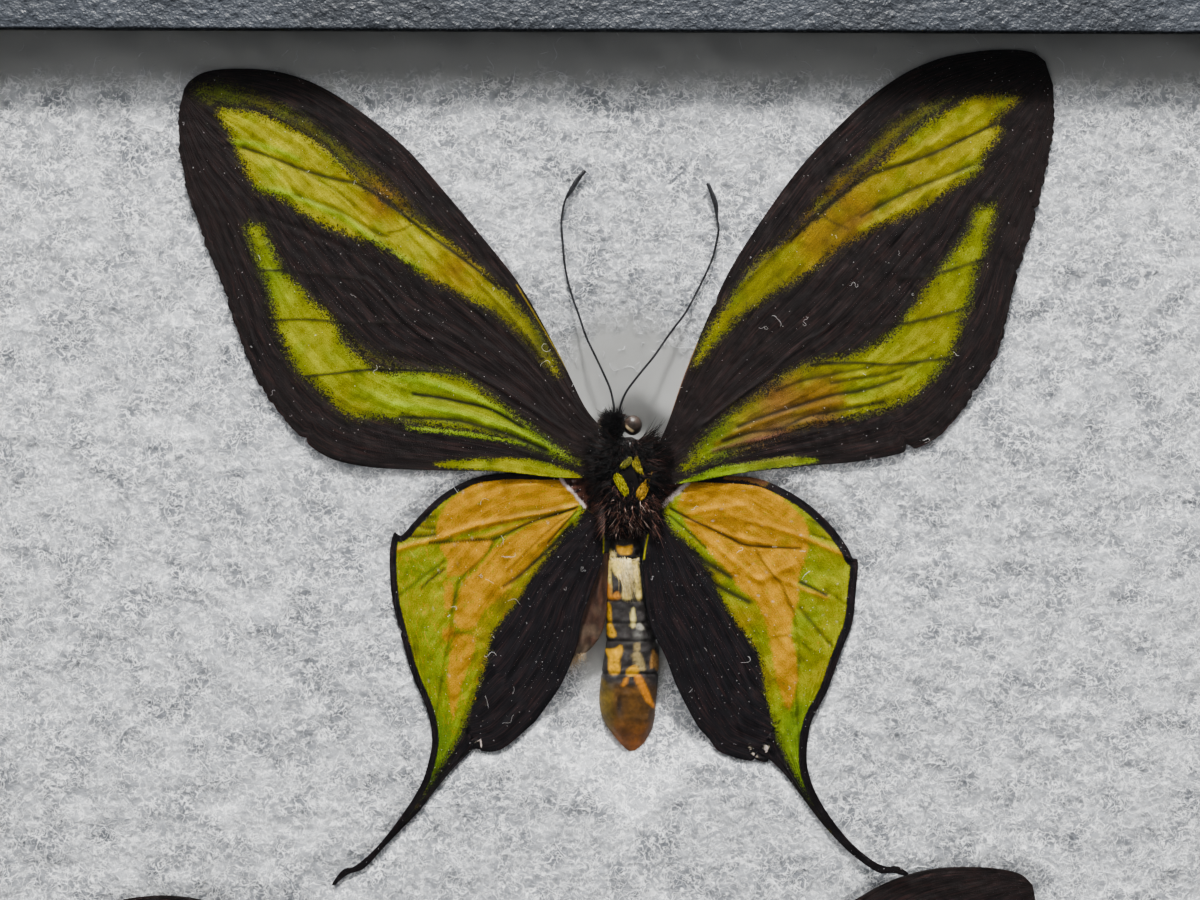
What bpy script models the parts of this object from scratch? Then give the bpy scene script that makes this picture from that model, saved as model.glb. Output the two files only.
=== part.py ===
"""A shallow glazed display box with two birdwing butterflies laid on white batting.

The box lies flat: +Z points out through the glass, +Y to the top edge, and the origin is the
middle of the underside. Lengths are in metres; outlines are written in millimetres times MM.
"""

import math

import bmesh
import bpy
from mathutils import Matrix, Vector

MM = 0.001
GAP = 0.3 * MM  # clearance between pieces that touch

# Driving dimensions of the box
BOX_WIDTH = 203.2 * MM
BOX_LENGTH = 254.0 * MM
BOX_DEPTH = 22.0 * MM
LIP_WIDTH = 8.0 * MM
LIP_THICKNESS = 1.5 * MM
LID_WALL = 1.2 * MM
LID_BOTTOM = 3.0 * MM
LID_ROUNDING = 1.2 * MM
GLASS_THICKNESS = 2.0 * MM
TRAY_WALL = 1.5 * MM
BATTING_TOP = 15.2 * MM
BATTING_ROUNDING = 2.0 * MM
TRAY_ROUNDING = 0.6 * MM
GLASS_BEVEL = 0.25 * MM

# Worked out from them
GLASS_TOP = BOX_DEPTH - LIP_THICKNESS - GAP
GLASS_BOTTOM = GLASS_TOP - GLASS_THICKNESS
TRAY_TOP = GLASS_BOTTOM - GAP
LID_INNER_X = BOX_WIDTH / 2 - LID_WALL
LID_INNER_Y = BOX_LENGTH / 2 - LID_WALL
TRAY_X = LID_INNER_X - GAP
TRAY_Y = LID_INNER_Y - GAP
BATTING_X = TRAY_X - TRAY_WALL - GAP
BATTING_Y = TRAY_Y - TRAY_WALL - GAP

# Steel pins that hold the lid on the tray, two in each long side
PIN_LENGTH = 14.0 * MM
PIN_RADIUS = 0.3 * MM
PIN_HOLE_RADIUS = 0.65 * MM
PIN_HEAD_RADIUS = 0.95 * MM
PIN_HEAD_DEPTH = 0.7 * MM
PIN_POINT_RADIUS = 0.06 * MM
PIN_POINT_LENGTH = 1.5 * MM
PIN_SIDES = 8
PIN_HEIGHT = 10.0 * MM
PIN_PLACES = (-76.0 * MM, 76.0 * MM)

# Butterflies: heights of their pieces in the box
WING_THICKNESS = 0.5 * MM
FOREWING_ROOT_Z = 16.6 * MM
HINDWING_ROOT_Z = 15.85 * MM
HINDWING_TIP_Z = 16.6 * MM
WING_CAMBER = 0.15 * MM
WING_RISE = 0.4  # share of the wing's length in which it rises to its tip's height
TAIL_START = 0.58  # share of the hindwing's length where a lifted tail starts to rise
TAIL_TOP = 0.82  # share where it has risen
FOREWING_STATIONS = 26
HINDWING_STATIONS = 33
WING_STRIPS = 3
EYE_RADIUS = 1.25 * MM
EYE_OFFSET = 1.85 * MM
EYE_RISE = 0.2 * MM
EYE_SEGMENTS = 12
EYE_RINGS = 6
HEAD_CENTRE = (-1.3, 7.8, 14.4)
TONGUE_CENTRE = (0.0, 0.7, -2.2)  # from the head's centre, in millimetres
TONGUE_COIL_RADIUS = 0.75 * MM
TONGUE_RADIUS = 0.22 * MM
TONGUE_SAMPLES = 10
LEG_RADIUS = 0.28 * MM
LEG_THICKNESS = (1.2, 1.0, 0.75, 0.55)  # at the points of a leg, as shares of LEG_RADIUS

# Each butterfly: middle of its thorax on the batting, its turn, how far its wings are spread
# beyond the first one's (both in degrees), the height of its forewings' tips and how far its
# right tail lifts. The first one's right tail crosses over the second one's forewing.
BUTTERFLIES = {
    "upper": {
        "place": (4.1 * MM, 56.1 * MM),
        "turn": 0.0,
        "fore_spread": 0.0,
        "hind_spread": 0.0,
        "fore_tip_z": 17.3 * MM,
        "tail_lift": 1.05 * MM,
    },
    "lower": {
        "place": (-3.5 * MM, -53.9 * MM),
        "turn": 0.6,
        "fore_spread": 7.3,
        "hind_spread": 5.6,
        "fore_tip_z": 16.7 * MM,
        "tail_lift": 0.0,
    },
}

# Wing outlines in millimetres from the thorax's middle: each row is a point of the front edge
# and the point of the rear edge that lies across the wing from it, from the root outwards.
FOREWING_LEFT = [
    ((-4.4, 8.0), (-3.7, 0.4)),
    ((-6.5, 10.8), (-9.8, 0.3)),
    ((-10.3, 18.5), (-18.3, 1.1)),
    ((-15.4, 27.4), (-28.3, 1.3)),
    ((-21.2, 34.8), (-37.5, 1.8)),
    ((-26.0, 40.5), (-43.6, 3.6)),
    ((-31.0, 46.2), (-48.8, 8.4)),
    ((-35.1, 49.8), (-53.0, 14.5)),
    ((-40.5, 53.7), (-55.7, 21.3)),
    ((-45.6, 56.4), (-57.9, 28.0)),
    ((-50.7, 57.8), (-60.5, 34.4)),
    ((-55.9, 58.1), (-62.8, 40.8)),
    ((-59.9, 57.7), (-63.8, 46.9)),
    ((-62.2, 56.5), (-64.0, 51.4)),
    ((-63.2, 55.2), (-63.6, 53.4)),
]
FOREWING_RIGHT = [
    ((3.9, 4.6), (3.7, -0.8)),
    ((5.5, 8.1), (8.7, -0.3)),
    ((7.8, 14.9), (15.8, 1.0)),
    ((10.9, 22.6), (24.3, 2.0)),
    ((14.2, 29.8), (32.8, 2.8)),
    ((18.6, 36.8), (39.8, 4.3)),
    ((23.7, 43.9), (44.4, 6.8)),
    ((28.4, 49.1), (48.7, 12.2)),
    ((33.7, 54.1), (52.3, 18.5)),
    ((38.8, 57.7), (54.4, 27.0)),
    ((43.9, 59.9), (56.1, 32.9)),
    ((49.1, 60.9), (57.9, 39.2)),
    ((53.4, 61.2), (59.4, 46.2)),
    ((56.9, 60.8), (60.1, 51.4)),
    ((58.8, 59.5), (59.9, 56.2)),
]
HINDWING_LEFT = [
    ((-5.5, -1.7), (-4.1, -5.1)),
    ((-6.8, 0.1), (-3.4, -9.2)),
    ((-11.9, 0.6), (-3.8, -11.8)),
    ((-17.9, 0.9), (-5.4, -16.2)),
    ((-22.6, 0.0), (-6.7, -20.2)),
    ((-26.8, -2.1), (-7.4, -24.1)),
    ((-30.2, -5.0), (-9.5, -29.1)),
    ((-32.2, -7.5), (-13.1, -34.2)),
    ((-33.8, -9.9), (-17.8, -38.2)),
    ((-33.8, -14.2), (-20.6, -38.6)),
    ((-33.4, -17.0), (-21.4, -37.8)),
    ((-32.5, -21.3), (-22.3, -38.6)),
    ((-30.8, -27.3), (-23.7, -40.0)),
    ((-28.5, -32.9), (-25.0, -41.3)),
    ((-27.8, -36.9), (-26.4, -43.0)),
    ((-28.4, -40.5), (-28.0, -45.0)),
    ((-29.5, -43.6), (-29.5, -47.0)),
    ((-32.0, -47.6), (-31.8, -49.4)),
    ((-35.4, -52.0), (-34.4, -52.1)),
    ((-38.5, -54.8), (-37.3, -55.2)),
    ((-40.3, -55.4), (-39.6, -56.1)),
    ((-41.6, -56.9), (-40.9, -57.1)),
    ((-42.0, -57.7), (-41.5, -57.7)),
]
HINDWING_RIGHT = [
    ((5.0, -2.8), (4.0, -5.1)),
    ((8.2, -0.6), (2.4, -9.2)),
    ((13.2, 0.4), (2.0, -12.1)),
    ((18.2, 0.0), (2.4, -16.6)),
    ((22.3, -1.6), (3.2, -20.9)),
    ((26.0, -4.0), (5.3, -25.1)),
    ((29.1, -6.7), (7.0, -29.5)),
    ((31.1, -9.5), (9.7, -34.6)),
    ((32.4, -11.6), (13.2, -38.6)),
    ((32.2, -15.6), (17.5, -39.8)),
    ((31.8, -19.9), (18.6, -38.6)),
    ((30.2, -24.4), (19.6, -39.2)),
    ((28.3, -29.8), (21.2, -40.6)),
    ((26.1, -34.1), (22.7, -42.2)),
    ((25.4, -38.1), (24.3, -44.3)),
    ((25.7, -41.6), (26.0, -46.6)),
    ((27.4, -45.6), (28.0, -49.1)),
    ((30.8, -50.3), (31.2, -52.4)),
    ((34.1, -53.3), (33.9, -54.5)),
    ((36.4, -54.5), (35.8, -55.5)),
    ((38.1, -54.5), (37.6, -55.5)),
    ((39.3, -55.1), (38.9, -55.8)),
    ((39.8, -55.5), (39.5, -55.9)),
]
# The hinge about which each pair of wings is spread
FOREWING_HINGE = {"left": (-4.0, 3.5), "right": (4.0, 2.0)}
HINDWING_HINGE = {"left": (-4.6, -3.4), "right": (4.5, -3.9)}

# Feelers: points in millimetres from the thorax's middle, from the head to the club's end
FEELER_LEFT = [
    (-2.1, 9.8), (-2.2, 10.9), (-2.7, 13.0), (-3.7, 15.3), (-5.0, 18.0), (-6.1, 20.3), (-7.1, 23.2),
    (-8.3, 26.6), (-9.1, 30.0), (-9.5, 33.7), (-9.7, 36.3), (-9.5, 38.2), (-9.1, 39.8), (-8.3, 41.1),
    (-7.3, 42.7), (-6.3, 43.9),
]
FEELER_RIGHT = [
    (-1.3, 9.9), (-1.1, 10.9), (-0.3, 12.7), (1.5, 15.1), (3.6, 17.7), (5.8, 20.9), (7.9, 23.7),
    (9.4, 26.4), (10.7, 29.0), (11.8, 31.6), (12.3, 33.7), (12.6, 35.6), (12.4, 37.1), (12.2, 39.0),
    (11.8, 40.3), (11.0, 42.2),
]
FEELER_SAMPLES = 19
FEELER_RADIUS = 0.16 * MM
FEELER_LOW_Z = 15.0 * MM
FEELER_HIGH_Z = 17.2 * MM
CLUB_START = 0.8  # share of the feeler's length where the club begins to swell
CLUB_FULL = 0.8  # share of the club's length where it stops narrowing again
CLUB_SWELL = 2.1

# Body sections in millimetres: place along the body, shift to the right, half width,
# half height and height of the middle
THORAX_SECTIONS = [
    (6.1, -0.8, 1.3, 1.6, 14.5),
    (5.2, -0.5, 2.7, 2.8, 14.2),
    (3.2, -0.2, 3.4, 3.7, 13.9),
    (0.6, 0.0, 3.6, 4.1, 13.7),
    (-2.0, 0.0, 3.6, 4.1, 13.6),
    (-4.5, 0.0, 3.2, 3.7, 13.5),
    (-6.3, -0.2, 2.4, 2.9, 13.4),
    (-7.3, -0.4, 1.5, 1.9, 13.4),
]
HEAD_SECTIONS = [
    (6.5, -1.3, 1.2, 1.3, 14.4),
    (7.0, -1.3, 1.9, 1.8, 14.4),
    (7.9, -1.3, 2.3, 2.1, 14.4),
    (8.8, -1.3, 1.9, 1.8, 14.4),
    (9.4, -1.4, 1.1, 1.1, 14.4),
]
ABDOMEN_PROFILE = [
    (-7.8, -0.4, 1.4, 1.8, 13.4),
    (-9.2, -0.4, 2.3, 2.6, 13.3),
    (-16.0, -0.4, 2.8, 3.0, 12.8),
    (-20.0, 0.2, 3.3, 3.0, 12.5),
    (-24.0, 0.6, 3.8, 3.0, 12.2),
    (-28.0, 0.3, 4.1, 3.0, 11.9),
    (-32.0, 0.0, 4.1, 2.9, 11.7),
    (-35.0, 0.1, 3.8, 2.6, 11.6),
    (-37.2, 0.5, 2.9, 2.1, 11.5),
    (-38.6, 0.7, 1.8, 1.4, 11.5),
    (-39.4, 0.7, 0.8, 0.6, 11.5),
]
ABDOMEN_RINGS = 8
RING_WAIST = 0.93  # how far the body narrows between two rings of the abdomen
BODY_SIDES = 12
BODY_SQUARENESS = 2.5  # 2 is an ellipse, more is boxier

# Legs, folded under the thorax: points in millimetres for the right side, front to back
LEGS = [
    [(1.2, 2.6, 11.2), (3.4, 3.6, 9.6), (4.2, 1.2, 8.9), (2.6, -0.4, 8.7)],
    [(1.3, 0.2, 10.6), (3.8, 0.2, 9.2), (4.6, -2.8, 8.6), (3.0, -4.6, 8.5)],
    [(1.2, -2.4, 10.6), (3.4, -3.4, 9.2), (4.0, -6.4, 8.8), (2.4, -7.8, 8.9)],
]

# Hollows pressed in the batting under a butterfly: middle and half sizes in millimetres
BODY_HOLLOWS = [
    ((-0.2, 0.5, 12.4), (8.6, 13.8, 7.4)),
    ((0.2, -23.0, 12.6), (7.2, 21.4, 6.6)),
]


def material(name, colour, roughness, metallic=0.0):
    """Makes a plain material of one colour."""
    made = bpy.data.materials.new(name)
    made.use_nodes = True
    shader = made.node_tree.nodes["Principled BSDF"]
    shader.inputs["Base Color"].default_value = (*colour, 1.0)
    shader.inputs["Roughness"].default_value = roughness
    shader.inputs["Metallic"].default_value = metallic
    made.diffuse_color = (*colour, 1.0)
    return made


def add_object(name, mesh, finish):
    """Puts a mesh or curve in the scene under this name."""
    made = bpy.data.objects.new(name, mesh)
    bpy.context.scene.collection.objects.link(made)
    if finish is not None:
        mesh.materials.append(finish)
    return made


def object_from(name, bm, finish):
    """Turns a bmesh into an object, with its faces pointing out."""
    bmesh.ops.recalc_face_normals(bm, faces=bm.faces)
    mesh = bpy.data.meshes.new(name)
    bm.to_mesh(mesh)
    bm.free()
    return add_object(name, mesh, finish)


def block(name, low, high, finish=None):
    """A box between two corners."""
    bm = bmesh.new()
    bmesh.ops.create_cube(bm, size=1.0)
    size = Vector(high) - Vector(low)
    bmesh.ops.scale(bm, vec=size, verts=bm.verts)
    bmesh.ops.translate(bm, vec=Vector(low) + size / 2, verts=bm.verts)
    return object_from(name, bm, finish)


def centred_block(name, half_x, half_y, low_z, high_z, finish=None):
    return block(name, (-half_x, -half_y, low_z), (half_x, half_y, high_z), finish)


def as_helper(obj):
    """Keeps a cutter or a shape to be joined out of the render."""
    obj.hide_render = True
    obj.display_type = "WIRE"
    return obj


def boolean(target, helper, operation):
    made = target.modifiers.new(operation.title() + " " + helper.name, "BOOLEAN")
    made.operation = operation
    made.solver = "EXACT"
    made.object = as_helper(helper)


def round_edges(obj, width, segments):
    made = obj.modifiers.new("Rounding", "BEVEL")
    made.width = width
    made.segments = segments
    made.limit_method = "ANGLE"


def shade_round(obj):
    obj.data.shade_smooth()
    obj.data.set_sharp_from_angle(angle=math.radians(40))


def smooth_curve(points, count):
    """count points on the Catmull-Rom curve through the given points, evenly by index."""
    spots = [Vector(p) for p in points]
    last = len(spots) - 1
    found = []
    for i in range(count):
        share = i * last / (count - 1)
        k = min(int(share), last - 1)
        t = share - k
        a = spots[max(k - 1, 0)]
        b = spots[k]
        c = spots[k + 1]
        d = spots[min(k + 2, last)]
        cubic = 3 * b - a - 3 * c + d
        square = 2 * a - 5 * b + 4 * c - d
        found.append((2 * b + (c - a) * t + square * t * t + cubic * t * t * t) / 2)
    return found


def cylinder(name, start, end, radius, sides=12):
    """A round bar between two points, as a mesh object."""
    bm = bmesh.new()
    axis = Vector(end) - Vector(start)
    turn = axis.to_track_quat("Z", "Y").to_matrix().to_4x4()
    place = Matrix.Translation((Vector(start) + Vector(end)) / 2)
    bmesh.ops.create_cone(bm, cap_ends=True, segments=sides, radius1=radius, radius2=radius,
                          depth=axis.length, matrix=place @ turn)
    return object_from(name, bm, None)


def add_tube(bm, points, radii, sides):
    """Adds a closed round tube with its own radius at each point, turned as little as it can be."""
    spots = [Vector(p) for p in points]
    last_way = Vector((0, 0, 1))
    turn = last_way.rotation_difference(last_way)
    rings = []
    for i, spot in enumerate(spots):
        way = (spots[min(i + 1, len(spots) - 1)] - spots[max(i - 1, 0)]).normalized()
        turn = last_way.rotation_difference(way) @ turn
        last_way = way
        ring = []
        for k in range(sides):
            angle = 2 * math.pi * k / sides
            offset = Vector((math.cos(angle), math.sin(angle), 0)) * radii[i]
            ring.append(bm.verts.new(spot + turn @ offset))
        rings.append(ring)
    close_rings(bm, rings)


def close_rings(bm, rings):
    """Joins rings of equal counts with faces and fills the two end rings."""
    for near, far in zip(rings, rings[1:]):
        count = len(near)
        for k in range(count):
            bm.faces.new((near[k], near[(k + 1) % count], far[(k + 1) % count], far[k]))
    bm.faces.new(rings[0])
    bm.faces.new(rings[-1])


def section_ring(bm, along, shift, half_width, half_height, middle):
    """One boxy oval section of the body, upright across it, from sizes in millimetres."""
    ring = []
    power = 2 / BODY_SQUARENESS
    for k in range(BODY_SIDES):
        angle = 2 * math.pi * (k + 0.5) / BODY_SIDES
        across = math.copysign(abs(math.cos(angle)) ** power, math.cos(angle))
        upward = math.copysign(abs(math.sin(angle)) ** power, math.sin(angle))
        spot = Vector((shift + half_width * across, along, middle + half_height * upward))
        ring.append(bm.verts.new(spot * MM))
    return ring


def body_form(sections):
    """A bmesh lofted through body sections."""
    bm = bmesh.new()
    close_rings(bm, [section_ring(bm, *section) for section in sections])
    return bm


def interpolate(rows, along):
    """The body section at a place along the body, between the rows around it."""
    for near, far in zip(rows, rows[1:]):
        if far[0] <= along <= near[0]:
            share = (along - near[0]) / (far[0] - near[0])
            return [a + (b - a) * share for a, b in zip(near, far)]
    return list(rows[-1])


def abdomen_sections():
    """The abdomen's sections, drawn in where one ring meets the next."""
    start, end = ABDOMEN_PROFILE[1][0], ABDOMEN_PROFILE[-3][0]
    found = [list(ABDOMEN_PROFILE[0])]
    for i in range(2 * ABDOMEN_RINGS + 1):
        section = interpolate(ABDOMEN_PROFILE, start + (end - start) * i / (2 * ABDOMEN_RINGS))
        waist = RING_WAIST if i % 2 == 0 else 1.0
        section[2] *= waist
        section[3] *= waist
        found.append(section)
    found += [list(ABDOMEN_PROFILE[-2]), list(ABDOMEN_PROFILE[-1])]
    return found


def turned(point, degrees, about=(0.0, 0.0)):
    """A flat point turned counter-clockwise about another."""
    angle = math.radians(degrees)
    x, y = point[0] - about[0], point[1] - about[1]
    return (about[0] + x * math.cos(angle) - y * math.sin(angle),
            about[1] + x * math.sin(angle) + y * math.cos(angle))


def spread_outline(rows, hinge, degrees):
    return [[turned(p, degrees, hinge) for p in row] for row in rows]


def wing_height(share, across, root_z, tip_z, lift):
    """Height of the wing's middle layer: it rises from the root and is a little arched."""
    rise = root_z + (tip_z - root_z) * min(1.0, share / WING_RISE)
    tail = lift * min(1.0, max(0.0, (share - TAIL_START) / (TAIL_TOP - TAIL_START))) ** 1.5
    return rise + tail + WING_CAMBER * math.sin(math.pi * across) * math.sin(math.pi * share)


def wing(name, rows, stations, root_z, tip_z, lift, finish):
    """A thin plate between a front and a rear edge, ruled from one to the other."""
    front = smooth_curve([row[0] for row in rows], stations)
    rear = smooth_curve([row[1] for row in rows], stations)
    bm = bmesh.new()
    rings = []
    for i, (near, far) in enumerate(zip(front, rear)):
        share = i / (stations - 1)
        upper = []
        lower = []
        for k in range(WING_STRIPS + 1):
            across = k / WING_STRIPS
            flat = near.lerp(far, across) * MM
            height = wing_height(share, across, root_z, tip_z, lift)
            upper.append(bm.verts.new((flat.x, flat.y, height + WING_THICKNESS / 2)))
            lower.append(bm.verts.new((flat.x, flat.y, height - WING_THICKNESS / 2)))
        rings.append(upper + lower[::-1])
    close_rings(bm, rings)
    made = object_from(name, bm, finish)
    made.data.shade_smooth()
    made.data.set_sharp_from_angle(angle=math.radians(30))
    return made


def feeler(name, points, finish):
    """A thin thread that swells to a club at its far end, rising towards the glass."""
    spots = smooth_curve([(x, y, 0.0) for x, y in points], FEELER_SAMPLES)
    curve = bpy.data.curves.new(name, "CURVE")
    curve.dimensions = "3D"
    curve.bevel_depth = FEELER_RADIUS
    curve.bevel_resolution = 1
    curve.use_fill_caps = True
    spline = curve.splines.new("POLY")
    spline.points.add(FEELER_SAMPLES - 1)
    for i, spot in enumerate(spots):
        share = i / (FEELER_SAMPLES - 1)
        height = FEELER_LOW_Z + (FEELER_HIGH_Z - FEELER_LOW_Z) * math.sin(share * math.pi / 2)
        club = max(0.0, (share - CLUB_START) / (1 - CLUB_START))
        spline.points[i].co = (spot.x * MM, spot.y * MM, height, 1.0)
        bulge = math.sin(min(1.0, club / CLUB_FULL) * math.pi * CLUB_FULL)
        spline.points[i].radius = 1 + (CLUB_SWELL - 1) * bulge
    return add_object(name, curve, finish)


def eye(name, side, finish):
    """One round eye, at the side of the head."""
    bm = bmesh.new()
    place = Vector(HEAD_CENTRE) * MM + Vector((side * EYE_OFFSET, 0, EYE_RISE))
    bmesh.ops.create_uvsphere(bm, u_segments=EYE_SEGMENTS, v_segments=EYE_RINGS, radius=EYE_RADIUS,
                              matrix=Matrix.Translation(place))
    made = object_from(name, bm, finish)
    made.data.shade_smooth()
    return made


def head(name, finish):
    """The head with its coiled tongue below, hollowed at the sides for the eyes."""
    made = object_from(name, body_form(HEAD_SECTIONS), finish)
    made.data.shade_smooth()
    centre = Vector(HEAD_CENTRE) * MM
    for side in (-1, 1):
        bm = bmesh.new()
        place = centre + Vector((side * EYE_OFFSET, 0, EYE_RISE))
        bmesh.ops.create_uvsphere(bm, u_segments=EYE_SEGMENTS, v_segments=8, radius=EYE_RADIUS + GAP,
                                  matrix=Matrix.Translation(place))
        boolean(made, object_from(f"{name}_socket_{side}", bm, None), "DIFFERENCE")
    bm = bmesh.new()
    middle = centre + Vector(TONGUE_CENTRE) * MM
    points = []
    for i in range(TONGUE_SAMPLES):
        share = i / (TONGUE_SAMPLES - 1)
        angle = math.pi * (0.5 + 1.6 * share)
        radius = TONGUE_COIL_RADIUS * (1.25 - 0.5 * share)
        points.append(middle + Vector((0, radius * math.cos(angle), radius * math.sin(angle))))
    add_tube(bm, points, [TONGUE_RADIUS] * TONGUE_SAMPLES, 6)
    boolean(made, object_from(f"{name}_tongue", bm, None), "UNION")
    return made


def thorax(name, finish):
    """The thorax with its six legs folded under it."""
    made = object_from(name, body_form(THORAX_SECTIONS), finish)
    made.data.shade_smooth()
    bm = bmesh.new()
    for side in (-1, 1):
        for points in LEGS:
            spots = [Vector((side * x, y, z)) * MM for x, y, z in points]
            add_tube(bm, spots, [LEG_RADIUS * share for share in LEG_THICKNESS], 5)
    boolean(made, object_from(f"{name}_legs", bm, None), "UNION")
    return made


def hollows(batting, holder, label):
    """Presses the two hollows of one butterfly's body into the batting."""
    for i, (middle, half) in enumerate(BODY_HOLLOWS):
        bm = bmesh.new()
        bmesh.ops.create_uvsphere(bm, u_segments=16, v_segments=8, radius=1.0)
        bmesh.ops.scale(bm, vec=Vector(half) * MM, verts=bm.verts)
        bmesh.ops.translate(bm, vec=Vector(middle) * MM, verts=bm.verts)
        cutter = object_from(f"{label}_hollow_{i}", bm, None)
        cutter.parent = holder
        boolean(batting, cutter, "DIFFERENCE")


def butterfly(label, place, turn, fore_spread, hind_spread, fore_tip_z, tail_lift, finishes):
    """All the pieces of one butterfly, on an empty that places and turns them."""
    holder = bpy.data.objects.new(f"{label}_place", None)
    bpy.context.scene.collection.objects.link(holder)
    holder.location = (place[0], place[1], 0.0)
    holder.rotation_euler = (0, 0, math.radians(turn))
    pieces = []
    wings = (
        ("forewing_left", FOREWING_LEFT, FOREWING_HINGE["left"], fore_spread),
        ("forewing_right", FOREWING_RIGHT, FOREWING_HINGE["right"], -fore_spread),
        ("hindwing_left", HINDWING_LEFT, HINDWING_HINGE["left"], hind_spread),
        ("hindwing_right", HINDWING_RIGHT, HINDWING_HINGE["right"], -hind_spread),
    )
    for name, rows, hinge, spread in wings:
        front = name.startswith("fore")
        stations = FOREWING_STATIONS if front else HINDWING_STATIONS
        root_z = FOREWING_ROOT_Z if front else HINDWING_ROOT_Z
        tip_z = fore_tip_z if front else HINDWING_TIP_Z
        lift = tail_lift if name == "hindwing_right" else 0.0
        finish = finishes["forewing" if front else "hindwing"]
        outline = spread_outline(rows, hinge, spread)
        pieces.append(wing(f"{label}_{name}", outline, stations, root_z, tip_z, lift, finish))
    pieces.append(thorax(f"{label}_thorax", finishes["fur"]))
    pieces.append(object_from(f"{label}_abdomen", body_form(abdomen_sections()), finishes["abdomen"]))
    pieces[-1].data.shade_smooth()
    pieces.append(head(f"{label}_head", finishes["fur"]))
    pieces.append(eye(f"{label}_eye_left", -1, finishes["eye"]))
    pieces.append(eye(f"{label}_eye_right", 1, finishes["eye"]))
    pieces.append(feeler(f"{label}_antenna_left", FEELER_LEFT, finishes["horn"]))
    pieces.append(feeler(f"{label}_antenna_right", FEELER_RIGHT, finishes["horn"]))
    for piece in pieces:
        piece.parent = holder
    for helper in bpy.data.objects:
        if helper.name.startswith(label) and helper.hide_render:
            helper.parent = holder
    return holder


def lid(finish):
    """The lid: four walls and a lip round the window, one folded piece of covered board."""
    made = centred_block("lid", BOX_WIDTH / 2, BOX_LENGTH / 2, LID_BOTTOM, BOX_DEPTH, finish)
    round_edges(made, LID_ROUNDING, 2)
    inside = centred_block("lid_inside", LID_INNER_X, LID_INNER_Y, -BOX_DEPTH, BOX_DEPTH - LIP_THICKNESS)
    window = centred_block("lid_window", BOX_WIDTH / 2 - LIP_WIDTH, BOX_LENGTH / 2 - LIP_WIDTH,
                           BOX_DEPTH / 2, 2 * BOX_DEPTH)
    boolean(made, inside, "DIFFERENCE")
    boolean(made, window, "DIFFERENCE")
    return made


def tray(finish):
    """The tray: an open box that the lid slides over."""
    made = centred_block("tray", TRAY_X, TRAY_Y, 0.0, TRAY_TOP, finish)
    round_edges(made, TRAY_ROUNDING, 2)
    inside = centred_block("tray_inside", TRAY_X - TRAY_WALL, TRAY_Y - TRAY_WALL, TRAY_WALL, BOX_DEPTH)
    boolean(made, inside, "DIFFERENCE")
    return made


def batting(finish):
    """The pad of batting that fills the tray."""
    made = centred_block("batting", BATTING_X, BATTING_Y, TRAY_WALL + GAP, BATTING_TOP, finish)
    round_edges(made, BATTING_ROUNDING, 2)
    return made


def lid_pin(name, side, along, finish):
    """A straight pin with a domed head, pushed in through the side of the lid."""
    wall = BOX_WIDTH / 2
    bm = bmesh.new()
    profile = [
        (wall - PIN_LENGTH, PIN_POINT_RADIUS),
        (wall - PIN_LENGTH + PIN_POINT_LENGTH, PIN_RADIUS),
        (wall + GAP, PIN_RADIUS),
        (wall + GAP, PIN_HEAD_RADIUS),
        (wall + GAP + PIN_HEAD_DEPTH * 0.55, PIN_HEAD_RADIUS),
        (wall + GAP + PIN_HEAD_DEPTH, PIN_HEAD_RADIUS * 0.5),
    ]
    rings = []
    for reach, radius in profile:
        ring = []
        for k in range(PIN_SIDES):
            angle = 2 * math.pi * k / PIN_SIDES
            spot = (side * reach, along + radius * math.cos(angle), PIN_HEIGHT + radius * math.sin(angle))
            ring.append(bm.verts.new(spot))
        rings.append(ring)
    close_rings(bm, rings)
    made = object_from(name, bm, finish)
    shade_round(made)
    return made


def pin_holes(targets, side, along, label):
    """The hole that one pin goes through, in every piece that it passes."""
    start = (side * (BOX_WIDTH / 2 + 2 * MM), along, PIN_HEIGHT)
    end = (side * (BOX_WIDTH / 2 - PIN_LENGTH - GAP), along, PIN_HEIGHT)
    drill = cylinder(f"{label}_hole", start, end, PIN_HOLE_RADIUS)
    for target in targets:
        boolean(target, drill, "DIFFERENCE")


def main():
    for old in list(bpy.data.objects):
        bpy.data.objects.remove(old)
    finishes = {
        "board": material("black covered board", (0.055, 0.060, 0.068), 0.45),
        "glass": material("clear glass", (0.92, 0.95, 0.94), 0.05),
        "batting": material("white batting", (0.74, 0.76, 0.78), 0.95),
        "steel": material("pin steel", (0.60, 0.60, 0.62), 0.30, 1.0),
        "forewing": material("green and black forewing", (0.20, 0.22, 0.03), 0.65),
        "hindwing": material("gold and black hindwing", (0.55, 0.34, 0.02), 0.60),
        "fur": material("dark brown fur", (0.035, 0.024, 0.020), 0.90),
        "abdomen": material("yellow and black abdomen", (0.42, 0.24, 0.05), 0.60),
        "eye": material("dark eye", (0.06, 0.035, 0.025), 0.25),
        "horn": material("black horn", (0.012, 0.012, 0.014), 0.40),
    }
    lid_piece = lid(finishes["board"])
    tray_piece = tray(finishes["board"])
    pad = batting(finishes["batting"])
    glass_x = LID_INNER_X - GAP
    glass_y = LID_INNER_Y - GAP
    glass = centred_block("glass", glass_x, glass_y, GLASS_BOTTOM, GLASS_TOP, finishes["glass"])
    round_edges(glass, GLASS_BEVEL, 1)
    for label, facts in BUTTERFLIES.items():
        holder = butterfly(label, finishes=finishes, **facts)
        hollows(pad, holder, label)
    pins = [(side, along) for side in (-1, 1) for along in PIN_PLACES]
    for i, (side, along) in enumerate(pins, start=1):
        lid_pin(f"lid_pin_{i}", side, along, finishes["steel"])
        pin_holes((lid_piece, tray_piece, pad), side, along, f"lid_pin_{i}")


main()
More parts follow.
